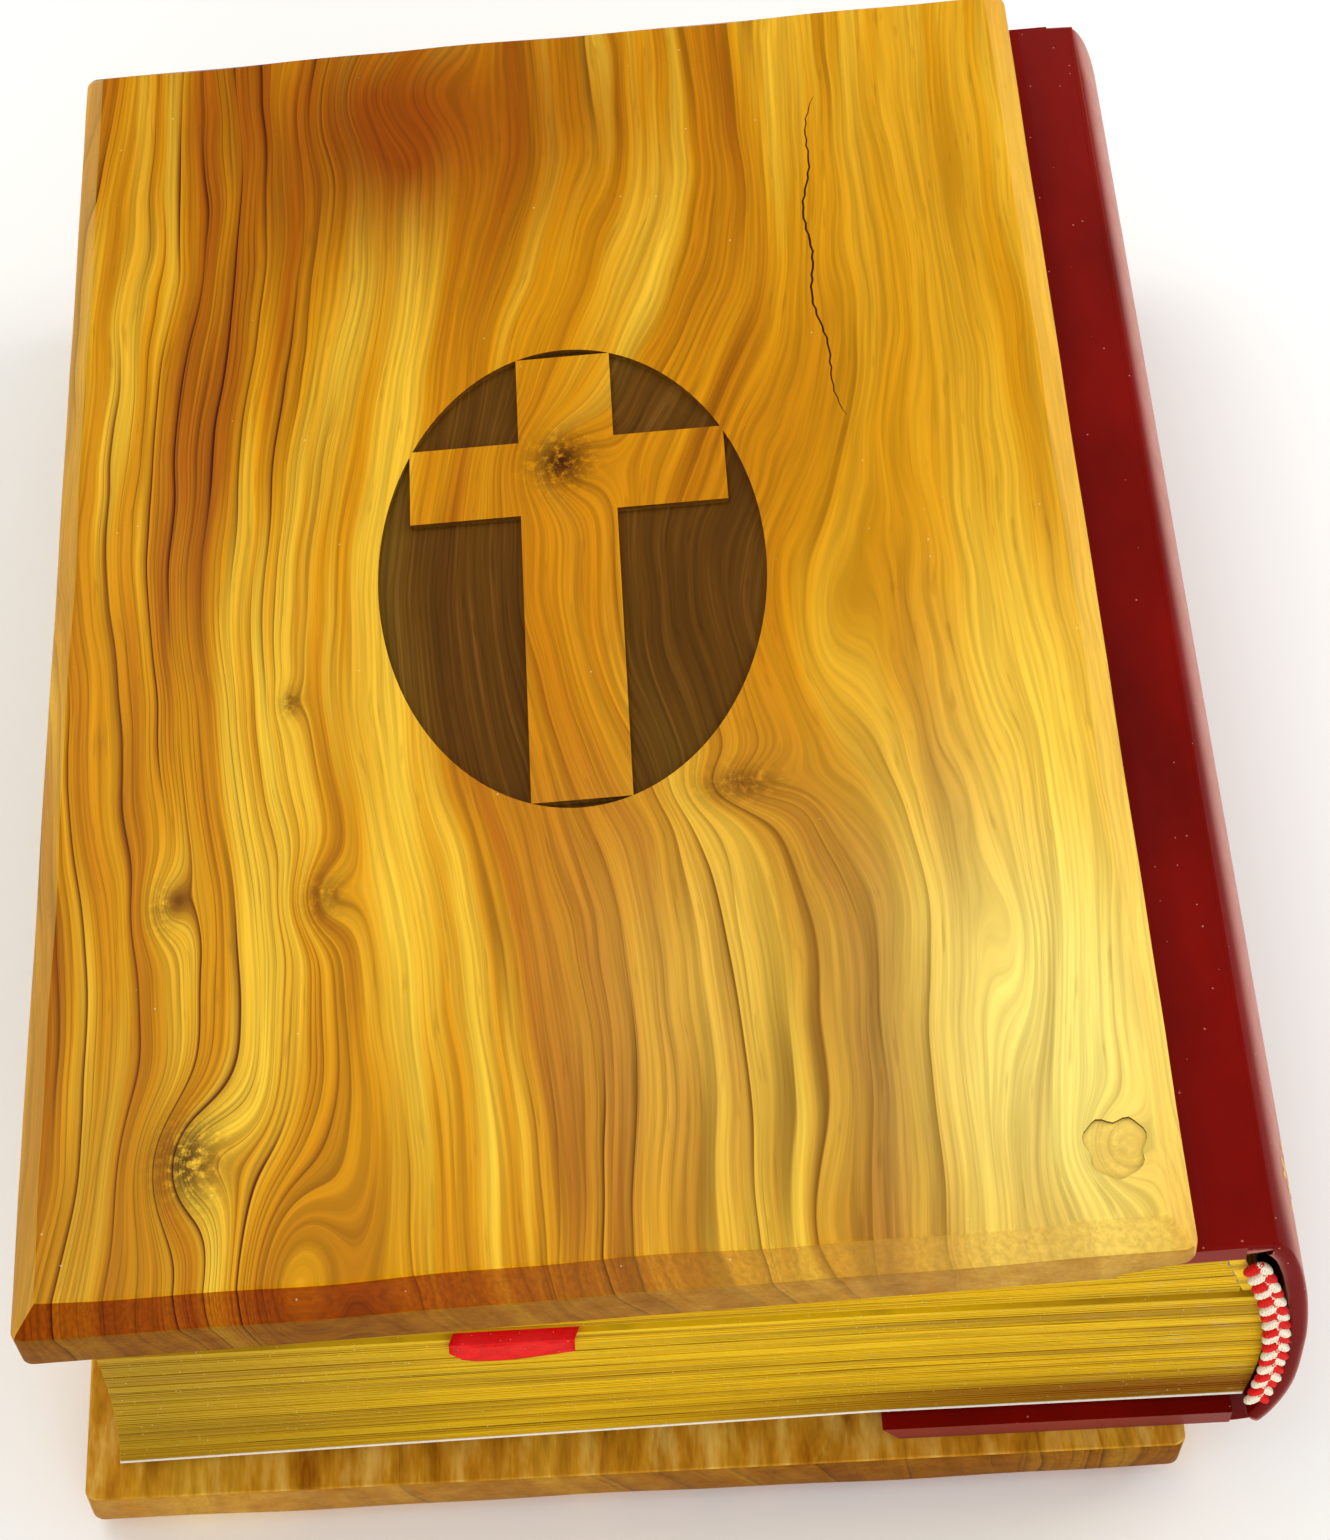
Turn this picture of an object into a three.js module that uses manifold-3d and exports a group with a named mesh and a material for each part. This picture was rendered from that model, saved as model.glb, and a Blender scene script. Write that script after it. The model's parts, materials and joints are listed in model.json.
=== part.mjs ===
// Prayer book bound in two olive-wood boards over a leatherette case.
//
// Units are millimetres. +X runs to the spine, +Y to the head, +Z up, and the book lies on its
// back board. Everything is placed from the back board: X = 0 is its middle, Y = 0 its tail edge
// and Z = 0 the surface it lies on. At the end the whole book is shifted so that its origin is at
// the bottom centre of its bounding box.

import * as THREE from "three";
import { mergeVertices } from "three/addons/utils/BufferGeometryUtils.js";
import Module from "manifold-3d";

const wasm = await Module();
wasm.setup();

// ---------------------------------------------------------------- driving dimensions

// Wooden boards
const boardWidth = 110;
const boardHeight = 164;
const boardThickness = 7.5;
const chamferInset = 2.6;
const chamferDrop = 2.4;

// Emblem cut into the front board: a sunk oval with the cross left standing
const ovalX = 0.6;
const ovalY = 82.5;
const ovalHalfWidth = 20.5;
const ovalHalfHeight = 30.2;
const ovalDepth = 0.7;
const crossShaft = 10.3;
const crossArm = 10;
const crossSpan = 34;
const crossArmY = 95;

// Pared corner under the tail end of the front board, next to the spine
const paredWidth = 8.5;
const paredHeight = 3;
const paredLip = 1;
const paredRise = 1.5;
const paredReach = 5;

// Case: what is left of the covered cover boards, as a strip along each joint
const stripCore = 1.2;
const leather = 0.5;
const stripWidth = 35;
const stripBevel = 1.8;
const stripTailSquare = 2.2;
const stripHeadSquare = 0.3;
const turnIn = 12;

// Joints: how far each hinge line lies beyond the edge of its board, the bare leatherette between
// a strip and the hinge line, and how far it runs on past that line
const backJointReach = 6;
const frontJointReach = 6.6;
const backHingeRise = 0.5;
const jointWidth = 1.5;
const backJointEnd = 0.6;
const frontJointEnd = 0.8;

// The front cover sits nearer the fore-edge and nearer the head than the back cover
const coverSkew = 2.55;
const coverRack = 3.7;

// Page block
const foreSquare = 3.5;
const tailSquare = 3.6;
const headSquare = 1.6;
const blockFore = 23.6;
const blockSpine = 26;
const lowerSections = 11;
const markedSections = 4;
const markedFore = 3;
const markedSpine = 7;
const markGap = 0.85;
const foldBulge = 2.2;
const foreHollow = 0.7;
const gutterBend = 7.5;
const turnClearance = 1;
const kneeReach = 1;
const foldDepth = 0.5;
const foldBottomInset = 0.35;
const foldTopInset = 1.6;

// Hollow spine: its ends and the pull of its curve, from the front and the back hinge lines
const spineTop = [0.95, 0];
const spineTopPull = [5.05, 0.1];
const spineBottomPull = [7.5, 7.1];
const spineBottom = [1.6, -0.5];
const inlayFrom = 0.12;
const inlayTo = 0.88;

// Thin pieces
const endpaper = 0.35;
const rampFoot = 1.6;
const rampHead = 0.5;
const lining = 0.5;
const liningInset = 8;
const liningMargin = 1.5;
const spineInlay = 0.6;
const spineLeather = 0.9;
const headbandDepth = 1.6;
const headbandInside = 1;
const headbandOutside = 1.9;
const headbandMargin = 0.5;
const ribbonWidth = 12;
const ribbonThickness = 0.25;
const ribbonX = -11.6;
const ribbonDrop = 5;
const ribbonProud = 1.2;
const ribbonHeadGap = 4;
const ribbonHeadInset = 9.2;

// Clearances
const glueLine = 0.1;
const leafGap = 0.12;
const restGap = 0.3;
const bandGap = 0.2;

// How far a cutting shape runs past the face that it cuts, and the fineness of the curves
const overrun = 1;
const ovalSegments = 36;
const foldSteps = 6;
const bandSteps = 12;
const spineSteps = 18;
const ribbonSteps = 30;
const ribbonColumns = 4;

// ---------------------------------------------------------------- derived places

const strip = stripCore + 2 * leather + 2 * glueLine;
const stripLength = boardHeight - stripTailSquare - stripHeadSquare;
const edgeX = boardWidth / 2;
const foreX = foreSquare - edgeX;
const pageHeight = boardHeight - tailSquare - headSquare;

const backHinge = new THREE.Vector2(edgeX + backJointReach, boardThickness + backHingeRise);
const stripInner = backHinge.x - jointWidth;
const stripCut = stripInner - stripWidth;
const kneeX = stripCut - kneeReach;

// Height of the back cover's inside, at the fore-edge and on the strip
const backFore = boardThickness + glueLine + endpaper + leafGap;
const backSpine = backFore + glueLine + strip;

// The front cover's wood lies on the block at the fore-edge and on its strip at the spine, so
// the two heights set its slope.
const frontFore = backFore + blockFore + leafGap + endpaper + glueLine + restGap;
const frontSpine = backSpine + blockSpine + leafGap + endpaper + 2 * glueLine + strip + restGap;
const foldTopX = edgeX + frontJointReach - coverSkew - foldTopInset;
const coverSlope = (frontSpine - frontFore) / (foldTopX - foreX);
const coverTilt = Math.atan(coverSlope);
const coverZ = (x) => frontFore + coverSlope * (x - foreX);

const frontReach = edgeX + frontJointReach;
const frontHinge = new THREE.Vector2(
  frontReach * Math.cos(coverTilt) - coverSkew,
  coverZ(-coverSkew) + frontReach * Math.sin(coverTilt) - glueLine,
);

// The case and the block lean towards the head by the same rack as the covers.
const lean = coverRack / (frontHinge.y - backHinge.y);
const leanY = (z) => lean * (z - backHinge.y);

// Heights of a leaf in the block, at the fore-edge, over the cut end of the strip and at the
// spine. share runs from 0 at the back flyleaf to 1 at the front flyleaf.
const kneeBottom = backSpine;
const kneeTop = coverZ(kneeX) - (frontSpine - backSpine - blockSpine);
const blockBottom = [backFore, kneeBottom, backSpine];
const blockTop = [backFore + blockFore, kneeTop, backSpine + blockSpine];
const foldBottomX = backHinge.x - foldBottomInset;

// ---------------------------------------------------------------- helpers

const finish = (color, roughness, metalness = 0) =>
  new THREE.MeshStandardMaterial({ color, roughness, metalness });

const oliveWood = finish(0xc98a2b, 0.35);
const roughWood = finish(0xb98a4a, 0.6);
const burgundy = finish(0x6a0f10, 0.4);
const greyBoard = finish(0xb3a48c, 0.9);
const paper = finish(0xefe6cf, 0.85);
const giltPages = finish(0xc9a22c, 0.35, 0.6);
const cottonBand = finish(0xd8473f, 0.8);
const redRibbon = finish(0xc0121a, 0.45);
const mull = finish(0xd9cfb8, 0.95);

/** A named mesh of one piece. */
function piece(name, geometry, material) {
  const mesh = new THREE.Mesh(geometry, material);
  mesh.name = name;
  return mesh;
}

/** Turns a closed geometry into a solid that can be joined and cut. */
function toSolid(geometry) {
  const plain = geometry.clone();
  plain.deleteAttribute("normal");
  plain.deleteAttribute("uv");
  const merged = mergeVertices(plain, 1e-4);
  return new wasm.Manifold(
    new wasm.Mesh({
      numProp: 3,
      vertProperties: merged.attributes.position.array,
      triVerts: new Uint32Array(merged.index.array),
    }),
  );
}

/** Turns a solid back into a geometry. */
function toGeometry(solid) {
  const mesh = solid.getMesh();
  const geometry = new THREE.BufferGeometry();
  geometry.setAttribute("position", new THREE.BufferAttribute(mesh.vertProperties, 3));
  geometry.setIndex(new THREE.BufferAttribute(mesh.triVerts, 1));
  return geometry;
}

const outline = (points) => new THREE.Shape(points.map(([a, b]) => new THREE.Vector2(a, b)));

/** Pushes an X-Z outline along Y, from yStart to yEnd. */
function alongY(points, yStart, yEnd) {
  const settings = { depth: yEnd - yStart, bevelEnabled: false };
  const geometry = new THREE.ExtrudeGeometry(outline(points), settings);
  geometry.rotateX(Math.PI / 2);
  geometry.translate(0, yEnd, 0);
  return geometry;
}

/** Pushes a Y-Z outline along X, from xStart to xEnd, in a number of steps. */
function alongX(points, xStart, xEnd, steps = 1) {
  const settings = { depth: xEnd - xStart, steps, bevelEnabled: false };
  const geometry = new THREE.ExtrudeGeometry(outline(points), settings);
  const turn = new THREE.Matrix4().makeBasis(
    new THREE.Vector3(0, 1, 0),
    new THREE.Vector3(0, 0, 1),
    new THREE.Vector3(1, 0, 0),
  );
  geometry.applyMatrix4(turn);
  geometry.translate(xStart, 0, 0);
  return geometry;
}

/** Moves every vertex of a geometry by a rule. */
function warp(geometry, rule) {
  const position = geometry.getAttribute("position");
  const vertex = new THREE.Vector3();
  for (let i = 0; i < position.count; i++) {
    vertex.fromBufferAttribute(position, i);
    rule(vertex);
    position.setXYZ(i, vertex.x, vertex.y, vertex.z);
  }
  return geometry;
}

/** Leans a geometry towards the head with height, as the case and the block do. */
const leaned = (geometry) => warp(geometry, (vertex) => { vertex.y += leanY(vertex.z); });

/** Sample values from 0 to 1, both ends included. */
const steps = (count) => Array.from({ length: count + 1 }, (_, i) => i / count);

/** The outline between two curves that run side by side. */
const between = (first, second, count) => [
  ...steps(count).map(first),
  ...steps(count).reverse().map(second),
];

// ---------------------------------------------------------------- wooden boards

/** A board with its inner face down at Z = 0 and a chamfer round its outer face. */
function chamferedBoard() {
  const wall = boardThickness - chamferDrop;
  const profile = (size) => [
    [0, 0],
    [size, 0],
    [size, wall],
    [size - chamferInset, boardThickness],
    [chamferInset, boardThickness],
    [0, wall],
  ];
  const across = alongY(profile(boardWidth), -overrun, boardHeight + overrun);
  across.translate(-edgeX, 0, 0);
  const along = alongX(profile(boardHeight), -edgeX - overrun, edgeX + overrun);
  return toSolid(across).intersect(toSolid(along));
}

/** The oval ground to be cut away round the cross. */
function emblemGround() {
  const oval = new THREE.Shape();
  oval.absellipse(ovalX, ovalY, ovalHalfWidth, ovalHalfHeight, 0, 2 * Math.PI);
  const settings = { depth: 2 * ovalDepth, bevelEnabled: false, curveSegments: ovalSegments };
  const ground = new THREE.ExtrudeGeometry(oval, settings);
  const reach = ovalHalfHeight * Math.sqrt(1 - (crossShaft / 2 / ovalHalfWidth) ** 2);
  const shaft = new THREE.BoxGeometry(crossShaft, 2 * reach, 4 * ovalDepth);
  shaft.translate(ovalX, ovalY, ovalDepth);
  const arm = new THREE.BoxGeometry(crossSpan, crossArm, 4 * ovalDepth);
  arm.translate(ovalX, crossArmY, ovalDepth);
  const cross = toSolid(shaft).add(toSolid(arm));
  return toSolid(ground).subtract(cross).translate([0, 0, boardThickness - ovalDepth]);
}

/** The wedge pared from under the tail corner of the front board. */
function paredCorner() {
  const wedge = [
    [edgeX - paredWidth, -overrun],
    [edgeX + overrun, -overrun],
    [edgeX + overrun, paredHeight],
    [edgeX - paredWidth + paredRise, paredLip],
  ];
  return toSolid(alongY(wedge, -overrun, paredReach));
}

const frontBoard = chamferedBoard().subtract(emblemGround()).subtract(paredCorner());

// ---------------------------------------------------------------- case strips and endpapers

/** Where the cut end of a strip lies at height z: bevelled, so that its inner face reaches furthest. */
const cutAt = (z) => stripCut + stripBevel * (1 - z / strip);

/** Leatherette wrapped round a strip of board: open on the inside between its two turn-ins. */
function stripWrap() {
  const section = [
    [0, 0],
    [stripLength, 0],
    [stripLength, strip],
    [stripLength - turnIn, strip],
    [stripLength - turnIn, strip - leather],
    [stripLength - leather, strip - leather],
    [stripLength - leather, leather],
    [leather, leather],
    [leather, strip - leather],
    [turnIn, strip - leather],
    [turnIn, strip],
    [0, strip],
  ];
  const knife = [
    [stripCut - overrun, -overrun],
    [cutAt(-overrun), -overrun],
    [cutAt(strip + overrun), strip + overrun],
    [stripCut - overrun, strip + overrun],
  ];
  const wrap = toSolid(alongX(section, stripCut, stripInner));
  return wrap.subtract(toSolid(alongY(knife, -overrun, stripLength + overrun)));
}

/** The board inside the wrap, cut to the same bevel. */
function stripBoard() {
  const low = leather + glueLine;
  const high = strip - leather - glueLine;
  const section = [
    [cutAt(low), low],
    [stripInner, low],
    [stripInner, high],
    [cutAt(high), high],
  ];
  const inset = leather + glueLine;
  return alongY(section, inset, stripLength - inset);
}

/** The endpaper half that is glued over the wood and up onto the strip. */
function pastedown() {
  const low = glueLine;
  const high = glueLine + strip + glueLine;
  const section = [
    [foreX, low],
    [stripCut - rampFoot, low],
    [stripCut - rampHead, high],
    [stripInner, high],
    [stripInner, high + endpaper],
    [stripCut - rampHead - endpaper, high + endpaper],
    [stripCut - rampFoot - endpaper, low + endpaper],
    [foreX, low + endpaper],
  ];
  return alongY(section, tailSquare, tailSquare + pageHeight);
}

// ---------------------------------------------------------------- page block

/** The back of the block at height z: a shallow round over the folds. */
function foldX(z) {
  const share = (z - backSpine) / blockSpine;
  const base = THREE.MathUtils.lerp(foldBottomX, foldTopX, share);
  return base + foldBulge * (1 - (2 * share - 1) ** 2);
}

/** The fore-edge at height z: a shallow hollow. */
function edgeAt(z) {
  const share = (z - backFore) / blockFore;
  return foreX + foreHollow * (1 - (2 * share - 1) ** 2);
}

/** A leaf's three heights at a rise above the bottom of the block, given at both ends. */
function level(foreRise, spineRise) {
  const share = (foreRise / blockFore + spineRise / blockSpine) / 2;
  return [
    blockBottom[0] + foreRise,
    THREE.MathUtils.lerp(blockBottom[1], blockTop[1], share),
    blockBottom[2] + spineRise,
  ];
}

/** Height of a leaf at x. */
function leafZ([fore, knee, spine], x) {
  if (x < kneeX) return THREE.MathUtils.mapLinear(x, foreX, kneeX, fore, knee);
  return THREE.MathUtils.mapLinear(x, kneeX, foldBottomX, knee, spine);
}

/** The outline of a gathering between two levels, out to endX or to the round of the back. */
function gathering(low, high, endX) {
  const lowEnd = endX ?? foldX(low[2]);
  const highEnd = endX ?? foldX(high[2]);
  const middle = (low[0] + high[0]) / 2;
  return [
    [edgeAt(low[0]), low[0]],
    [kneeX, low[1]],
    [lowEnd, leafZ(low, lowEnd)],
    [highEnd, leafZ(high, highEnd)],
    [kneeX, high[1]],
    [edgeAt(high[0]), high[0]],
    [edgeAt(middle), middle],
  ];
}

const leavesFrom = tailSquare;
const leavesTo = tailSquare + pageHeight;
const leaves = (points) => leaned(alongY(points, leavesFrom, leavesTo));

const lowerFore = blockFore - markedFore - 2 * (endpaper + leafGap);
const lowerSpine = blockSpine - markedSpine - 2 * (endpaper + leafGap);
const firstRise = endpaper + leafGap;

/** The levels of one gathering out of several that share a stack. */
function stacked(index, count, foreStart, foreSize, spineStart, spineSize) {
  const low = index / count;
  const high = (index + 1) / count;
  return [
    level(foreStart + foreSize * low, spineStart + spineSize * low),
    level(foreStart + foreSize * high - leafGap, spineStart + spineSize * high - leafGap),
  ];
}

const lowerStack = (i) =>
  stacked(i, lowerSections, firstRise, lowerFore, firstRise, lowerSpine);

const markedFrom = [firstRise + lowerFore + markGap, firstRise + lowerSpine + markGap];
const markedStack = (i) =>
  stacked(
    i,
    markedSections,
    markedFrom[0],
    markedFore - markGap,
    markedFrom[1],
    markedSpine - markGap,
  );

// Hinge line of each marked gathering, on its own fold
const markedHinges = Array.from({ length: markedSections }, (_, i) => {
  const [low, high] = markedStack(i);
  const z = (low[2] + high[2]) / 2;
  return new THREE.Vector2(foldX(z) - foldDepth, z);
});
const markedEnd = Math.min(...markedHinges.map((hinge) => hinge.x)) - gutterBend;

/** The glued folds of the marked gatherings: what stays behind when their leaves turn. */
function markedFolds() {
  const low = backSpine + markedFrom[1];
  const high = backSpine + blockSpine - endpaper - 2 * leafGap;
  const radius = gutterBend - turnClearance;
  const freeOf = (z) =>
    Math.max(...markedHinges.map((hinge) => hinge.x - Math.sqrt(radius ** 2 - (z - hinge.y) ** 2)));
  const at = (t) => THREE.MathUtils.lerp(low, high, t);
  return between((t) => [foldX(at(t)), at(t)], (t) => [freeOf(at(t)), at(t)], foldSteps);
}

/** The band along the back of the block between two distances out from the folds. */
function backBand(inner, outer, zLow, zHigh) {
  const at = (t) => THREE.MathUtils.lerp(zLow, zHigh, t);
  const side = (reach) => (t) => [foldX(at(t)) + reach, at(t)];
  return between(side(outer), side(inner), bandSteps);
}

// ---------------------------------------------------------------- hollow spine

const offset = (point, [right, up]) => new THREE.Vector2(point.x + right, point.y + up);
const spineCurve = new THREE.CubicBezierCurve(
  offset(frontHinge, spineTop),
  offset(frontHinge, spineTopPull),
  offset(backHinge, spineBottomPull),
  offset(backHinge, spineBottom),
);

/** The band between two depths inside the spine's outer curve, over a share of its length. */
function spineBand(outer, inner, from, to) {
  const at = (t, depth) => {
    const share = THREE.MathUtils.lerp(from, to, t);
    const point = spineCurve.getPoint(share);
    const tangent = spineCurve.getTangent(share);
    return [point.x + tangent.y * depth, point.y - tangent.x * depth];
  };
  return between((t) => at(t, outer), (t) => at(t, inner), spineSteps);
}

const stripFrom = stripTailSquare;
const stripTo = stripTailSquare + stripLength;

/** The leatherette that bends in a joint, between the strip's edge and the spine. */
const jointLeather = (from, to) =>
  alongY(
    [
      [from, -leather],
      [to, -leather],
      [to, 0],
      [from, 0],
    ],
    stripFrom,
    stripTo,
  );

// ---------------------------------------------------------------- ribbon marker

/** The ribbon: from the folds at the head, slanting between the gatherings, out over the tail. */
function ribbonMarker() {
  const low = restGap;
  const high = restGap + ribbonThickness;
  const tail = leavesFrom - ribbonProud;
  const head = leavesTo - ribbonHeadGap;
  const drop = tail + ribbonThickness;
  const run = steps(ribbonSteps).map((t) => THREE.MathUtils.lerp(tail, head, t));
  const section = [
    [tail, -ribbonDrop],
    [drop, -ribbonDrop],
    [drop, low],
    ...run.slice(1).map((y) => [y, low]),
    ...run.reverse().map((y) => [y, high]),
  ];
  const plane = level(firstRise + lowerFore - leafGap, firstRise + lowerSpine - leafGap);
  const side = ribbonWidth / 2;
  const drift = (foldTopX - ribbonHeadInset - ribbonX) / (head - tail);
  const flat = alongX(section, ribbonX - side, ribbonX + side, ribbonColumns);
  return warp(flat, (vertex) => {
    vertex.x += (vertex.y - tail) * drift;
    vertex.z += leafZ(plane, vertex.x);
    vertex.y += leanY(leafZ(plane, vertex.x));
  });
}

// ---------------------------------------------------------------- assembly

const book = new THREE.Group();

const backCover = new THREE.Group();
const backBoard = toGeometry(chamferedBoard());
backBoard.rotateY(Math.PI);
backBoard.translate(0, 0, boardThickness);
const backStrip = new THREE.Group();
backStrip.position.set(0, stripTailSquare, boardThickness + glueLine);
backStrip.add(
  piece("back_cover_leather", toGeometry(stripWrap()), burgundy),
  piece("back_strip_board", stripBoard(), greyBoard),
);
const backPastedown = piece("back_pastedown", pastedown(), paper);
backPastedown.position.z = boardThickness;
const backJoint = piece(
  "back_joint_leather",
  jointLeather(stripInner + glueLine, backHinge.x + backJointEnd),
  burgundy,
);
backJoint.position.z = boardThickness + glueLine + leather;
backCover.add(piece("back_board", backBoard, roughWood), backStrip, backPastedown, backJoint);

const bookBlock = new THREE.Group();
for (let i = 0; i < lowerSections; i++) {
  const number = String(lowerSections + markedSections - i).padStart(2, "0");
  bookBlock.add(piece(`section_${number}`, leaves(gathering(...lowerStack(i))), giltPages));
}
for (let i = 0; i < markedSections; i++) {
  const number = String(markedSections - i).padStart(2, "0");
  const turned = gathering(...markedStack(i), markedEnd);
  bookBlock.add(piece(`section_${number}`, leaves(turned), giltPages));
}
const backFlyleaf = gathering(level(0, 0), level(endpaper, endpaper));
const topRise = [blockFore - endpaper, blockSpine - endpaper];
const frontFlyleaf = gathering(level(...topRise), level(blockFore, blockSpine), markedEnd);
const liningLow = backSpine + liningMargin;
const liningHigh = backSpine + blockSpine - liningMargin;
const liningBand = backBand(glueLine, glueLine + lining, liningLow, liningHigh);
const headbandLow = backSpine + headbandMargin;
const headbandHigh = backSpine + blockSpine - headbandMargin;
const headband = backBand(-headbandInside, headbandOutside, headbandLow, headbandHigh);
const tailBandTo = leavesFrom - bandGap;
const headBandFrom = leavesTo + bandGap;
const band = (yStart) => leaned(alongY(headband, yStart, yStart + headbandDepth));
const mullBand = leaned(alongY(liningBand, leavesFrom + liningInset, leavesTo - liningInset));
const shell = leaned(alongY(spineBand(0, spineLeather, 0, 1), stripFrom, stripTo));
const inlayDepth = spineLeather + glueLine;
const inlayEnd = leather + glueLine;
const inlayBand = spineBand(inlayDepth, inlayDepth + spineInlay, inlayFrom, inlayTo);
const inlay = leaned(alongY(inlayBand, stripFrom + inlayEnd, stripTo - inlayEnd));
bookBlock.add(
  piece("marked_section_folds", leaves(markedFolds()), giltPages),
  piece("back_flyleaf", leaves(backFlyleaf), paper),
  piece("front_flyleaf", leaves(frontFlyleaf), paper),
  piece("spine_lining", mullBand, mull),
  piece("headband_tail", band(tailBandTo - headbandDepth), cottonBand),
  piece("headband_head", band(headBandFrom), cottonBand),
  piece("ribbon_marker", ribbonMarker(), redRibbon),
  piece("spine_leather", shell, burgundy),
  piece("spine_inlay", inlay, greyBoard),
);

const frontCover = new THREE.Group();
frontCover.position.set(-coverSkew, coverRack, coverZ(-coverSkew));
frontCover.rotation.y = -coverTilt;
const frontShift = frontReach - backHinge.x;
const frontStrip = new THREE.Group();
frontStrip.position.set(frontShift, stripTailSquare, -glueLine);
frontStrip.scale.z = -1;
frontStrip.add(
  piece("front_cover_leather", toGeometry(stripWrap()), burgundy),
  piece("front_strip_board", stripBoard(), greyBoard),
);
const frontPastedown = piece("front_pastedown", pastedown(), paper);
frontPastedown.position.x = frontShift;
frontPastedown.position.y = -coverRack + leanY(backSpine + blockSpine);
frontPastedown.scale.z = -1;
const frontJoint = piece(
  "front_joint_leather",
  jointLeather(stripInner + glueLine + frontShift, frontReach + frontJointEnd),
  burgundy,
);
frontJoint.position.z = -glueLine;
frontCover.add(
  piece("front_board", toGeometry(frontBoard), oliveWood),
  frontStrip,
  frontPastedown,
  frontJoint,
);

book.add(backCover, bookBlock, frontCover);

// The origin: bottom centre of the bounding box, on the surface that the book lies on.
const box = new THREE.Box3().setFromObject(book);
const centre = box.getCenter(new THREE.Vector3());
book.position.set(-centre.x, -centre.y, -box.min.z);

// Hinge lines in the book's own frame, for the motion: all of them run along Y.
const hingeAt = (hinge) => [hinge.x - centre.x, 0, hinge.y - box.min.z];
book.userData.hinges = {
  back_joint: hingeAt(backHinge),
  front_joint: hingeAt(frontHinge),
  marked_sections: markedHinges.map(hingeAt),
};

export default book;
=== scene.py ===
"""Looks of a prayer book: olive-wood boards, a leatherette case and a gilt-edged page block.

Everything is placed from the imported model. Sizes are in millimetres until a mesh is made.
"""

import json
import logging
import math
import random
from collections.abc import Callable, Sequence
from dataclasses import dataclass
from enum import Enum

import bmesh
import bpy
from mathutils import Matrix, Vector

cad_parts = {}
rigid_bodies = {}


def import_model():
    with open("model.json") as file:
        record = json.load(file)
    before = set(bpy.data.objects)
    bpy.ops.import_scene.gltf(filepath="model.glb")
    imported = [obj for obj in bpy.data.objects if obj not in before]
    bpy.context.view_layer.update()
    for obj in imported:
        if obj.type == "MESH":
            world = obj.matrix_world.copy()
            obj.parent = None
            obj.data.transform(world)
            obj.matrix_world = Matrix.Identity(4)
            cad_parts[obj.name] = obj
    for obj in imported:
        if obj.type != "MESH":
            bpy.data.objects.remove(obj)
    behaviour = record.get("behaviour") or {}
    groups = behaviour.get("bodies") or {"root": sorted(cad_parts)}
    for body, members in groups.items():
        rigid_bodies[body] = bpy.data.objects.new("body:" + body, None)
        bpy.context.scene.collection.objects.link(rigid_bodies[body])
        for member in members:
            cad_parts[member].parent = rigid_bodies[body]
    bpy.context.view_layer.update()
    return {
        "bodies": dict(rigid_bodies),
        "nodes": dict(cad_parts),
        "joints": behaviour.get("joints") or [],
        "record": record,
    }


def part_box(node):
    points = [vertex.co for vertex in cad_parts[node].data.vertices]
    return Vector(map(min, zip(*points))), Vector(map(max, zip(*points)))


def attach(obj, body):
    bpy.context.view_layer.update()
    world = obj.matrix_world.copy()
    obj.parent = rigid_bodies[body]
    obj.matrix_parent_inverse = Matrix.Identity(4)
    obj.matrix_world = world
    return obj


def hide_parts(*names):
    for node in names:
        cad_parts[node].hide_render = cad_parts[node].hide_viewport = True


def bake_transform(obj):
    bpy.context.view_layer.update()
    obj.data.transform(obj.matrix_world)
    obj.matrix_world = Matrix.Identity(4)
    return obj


LOG = logging.getLogger("prayer_book")
MM = 0.001
Colour = tuple[float, float, float, float]
Point2 = tuple[float, float]
Point3 = tuple[float, float, float]
Socket = bpy.types.NodeSocket
Piece = bpy.types.Object
Material = bpy.types.Material
Tree = bpy.types.NodeTree
Node = bpy.types.Node


def tone(red: int, green: int, blue: int) -> Colour:
    """Turns a display colour, 0 to 255 in each channel, into the linear colour that a shader takes.

    Args:
        red: Red as displayed.
        green: Green as displayed.
        blue: Blue as displayed.

    Returns:
        The linear colour with full alpha.
    """
    linear = []
    for channel in (red, green, blue):
        value = channel / 255
        linear.append(value / 12.92 if value <= 0.04045 else ((value + 0.055) / 1.055) ** 2.4)
    return (linear[0], linear[1], linear[2], 1.0)


def smooth(share: float) -> float:
    """Eases a share between 0 and 1 at both ends."""
    share = min(1.0, max(0.0, share))
    return share * share * (3 - 2 * share)


def lerp(start: float, end: float, share: float) -> float:
    """The value at a share of the way from start to end."""
    return start + (end - start) * share


# ------------ shader nodes


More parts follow.
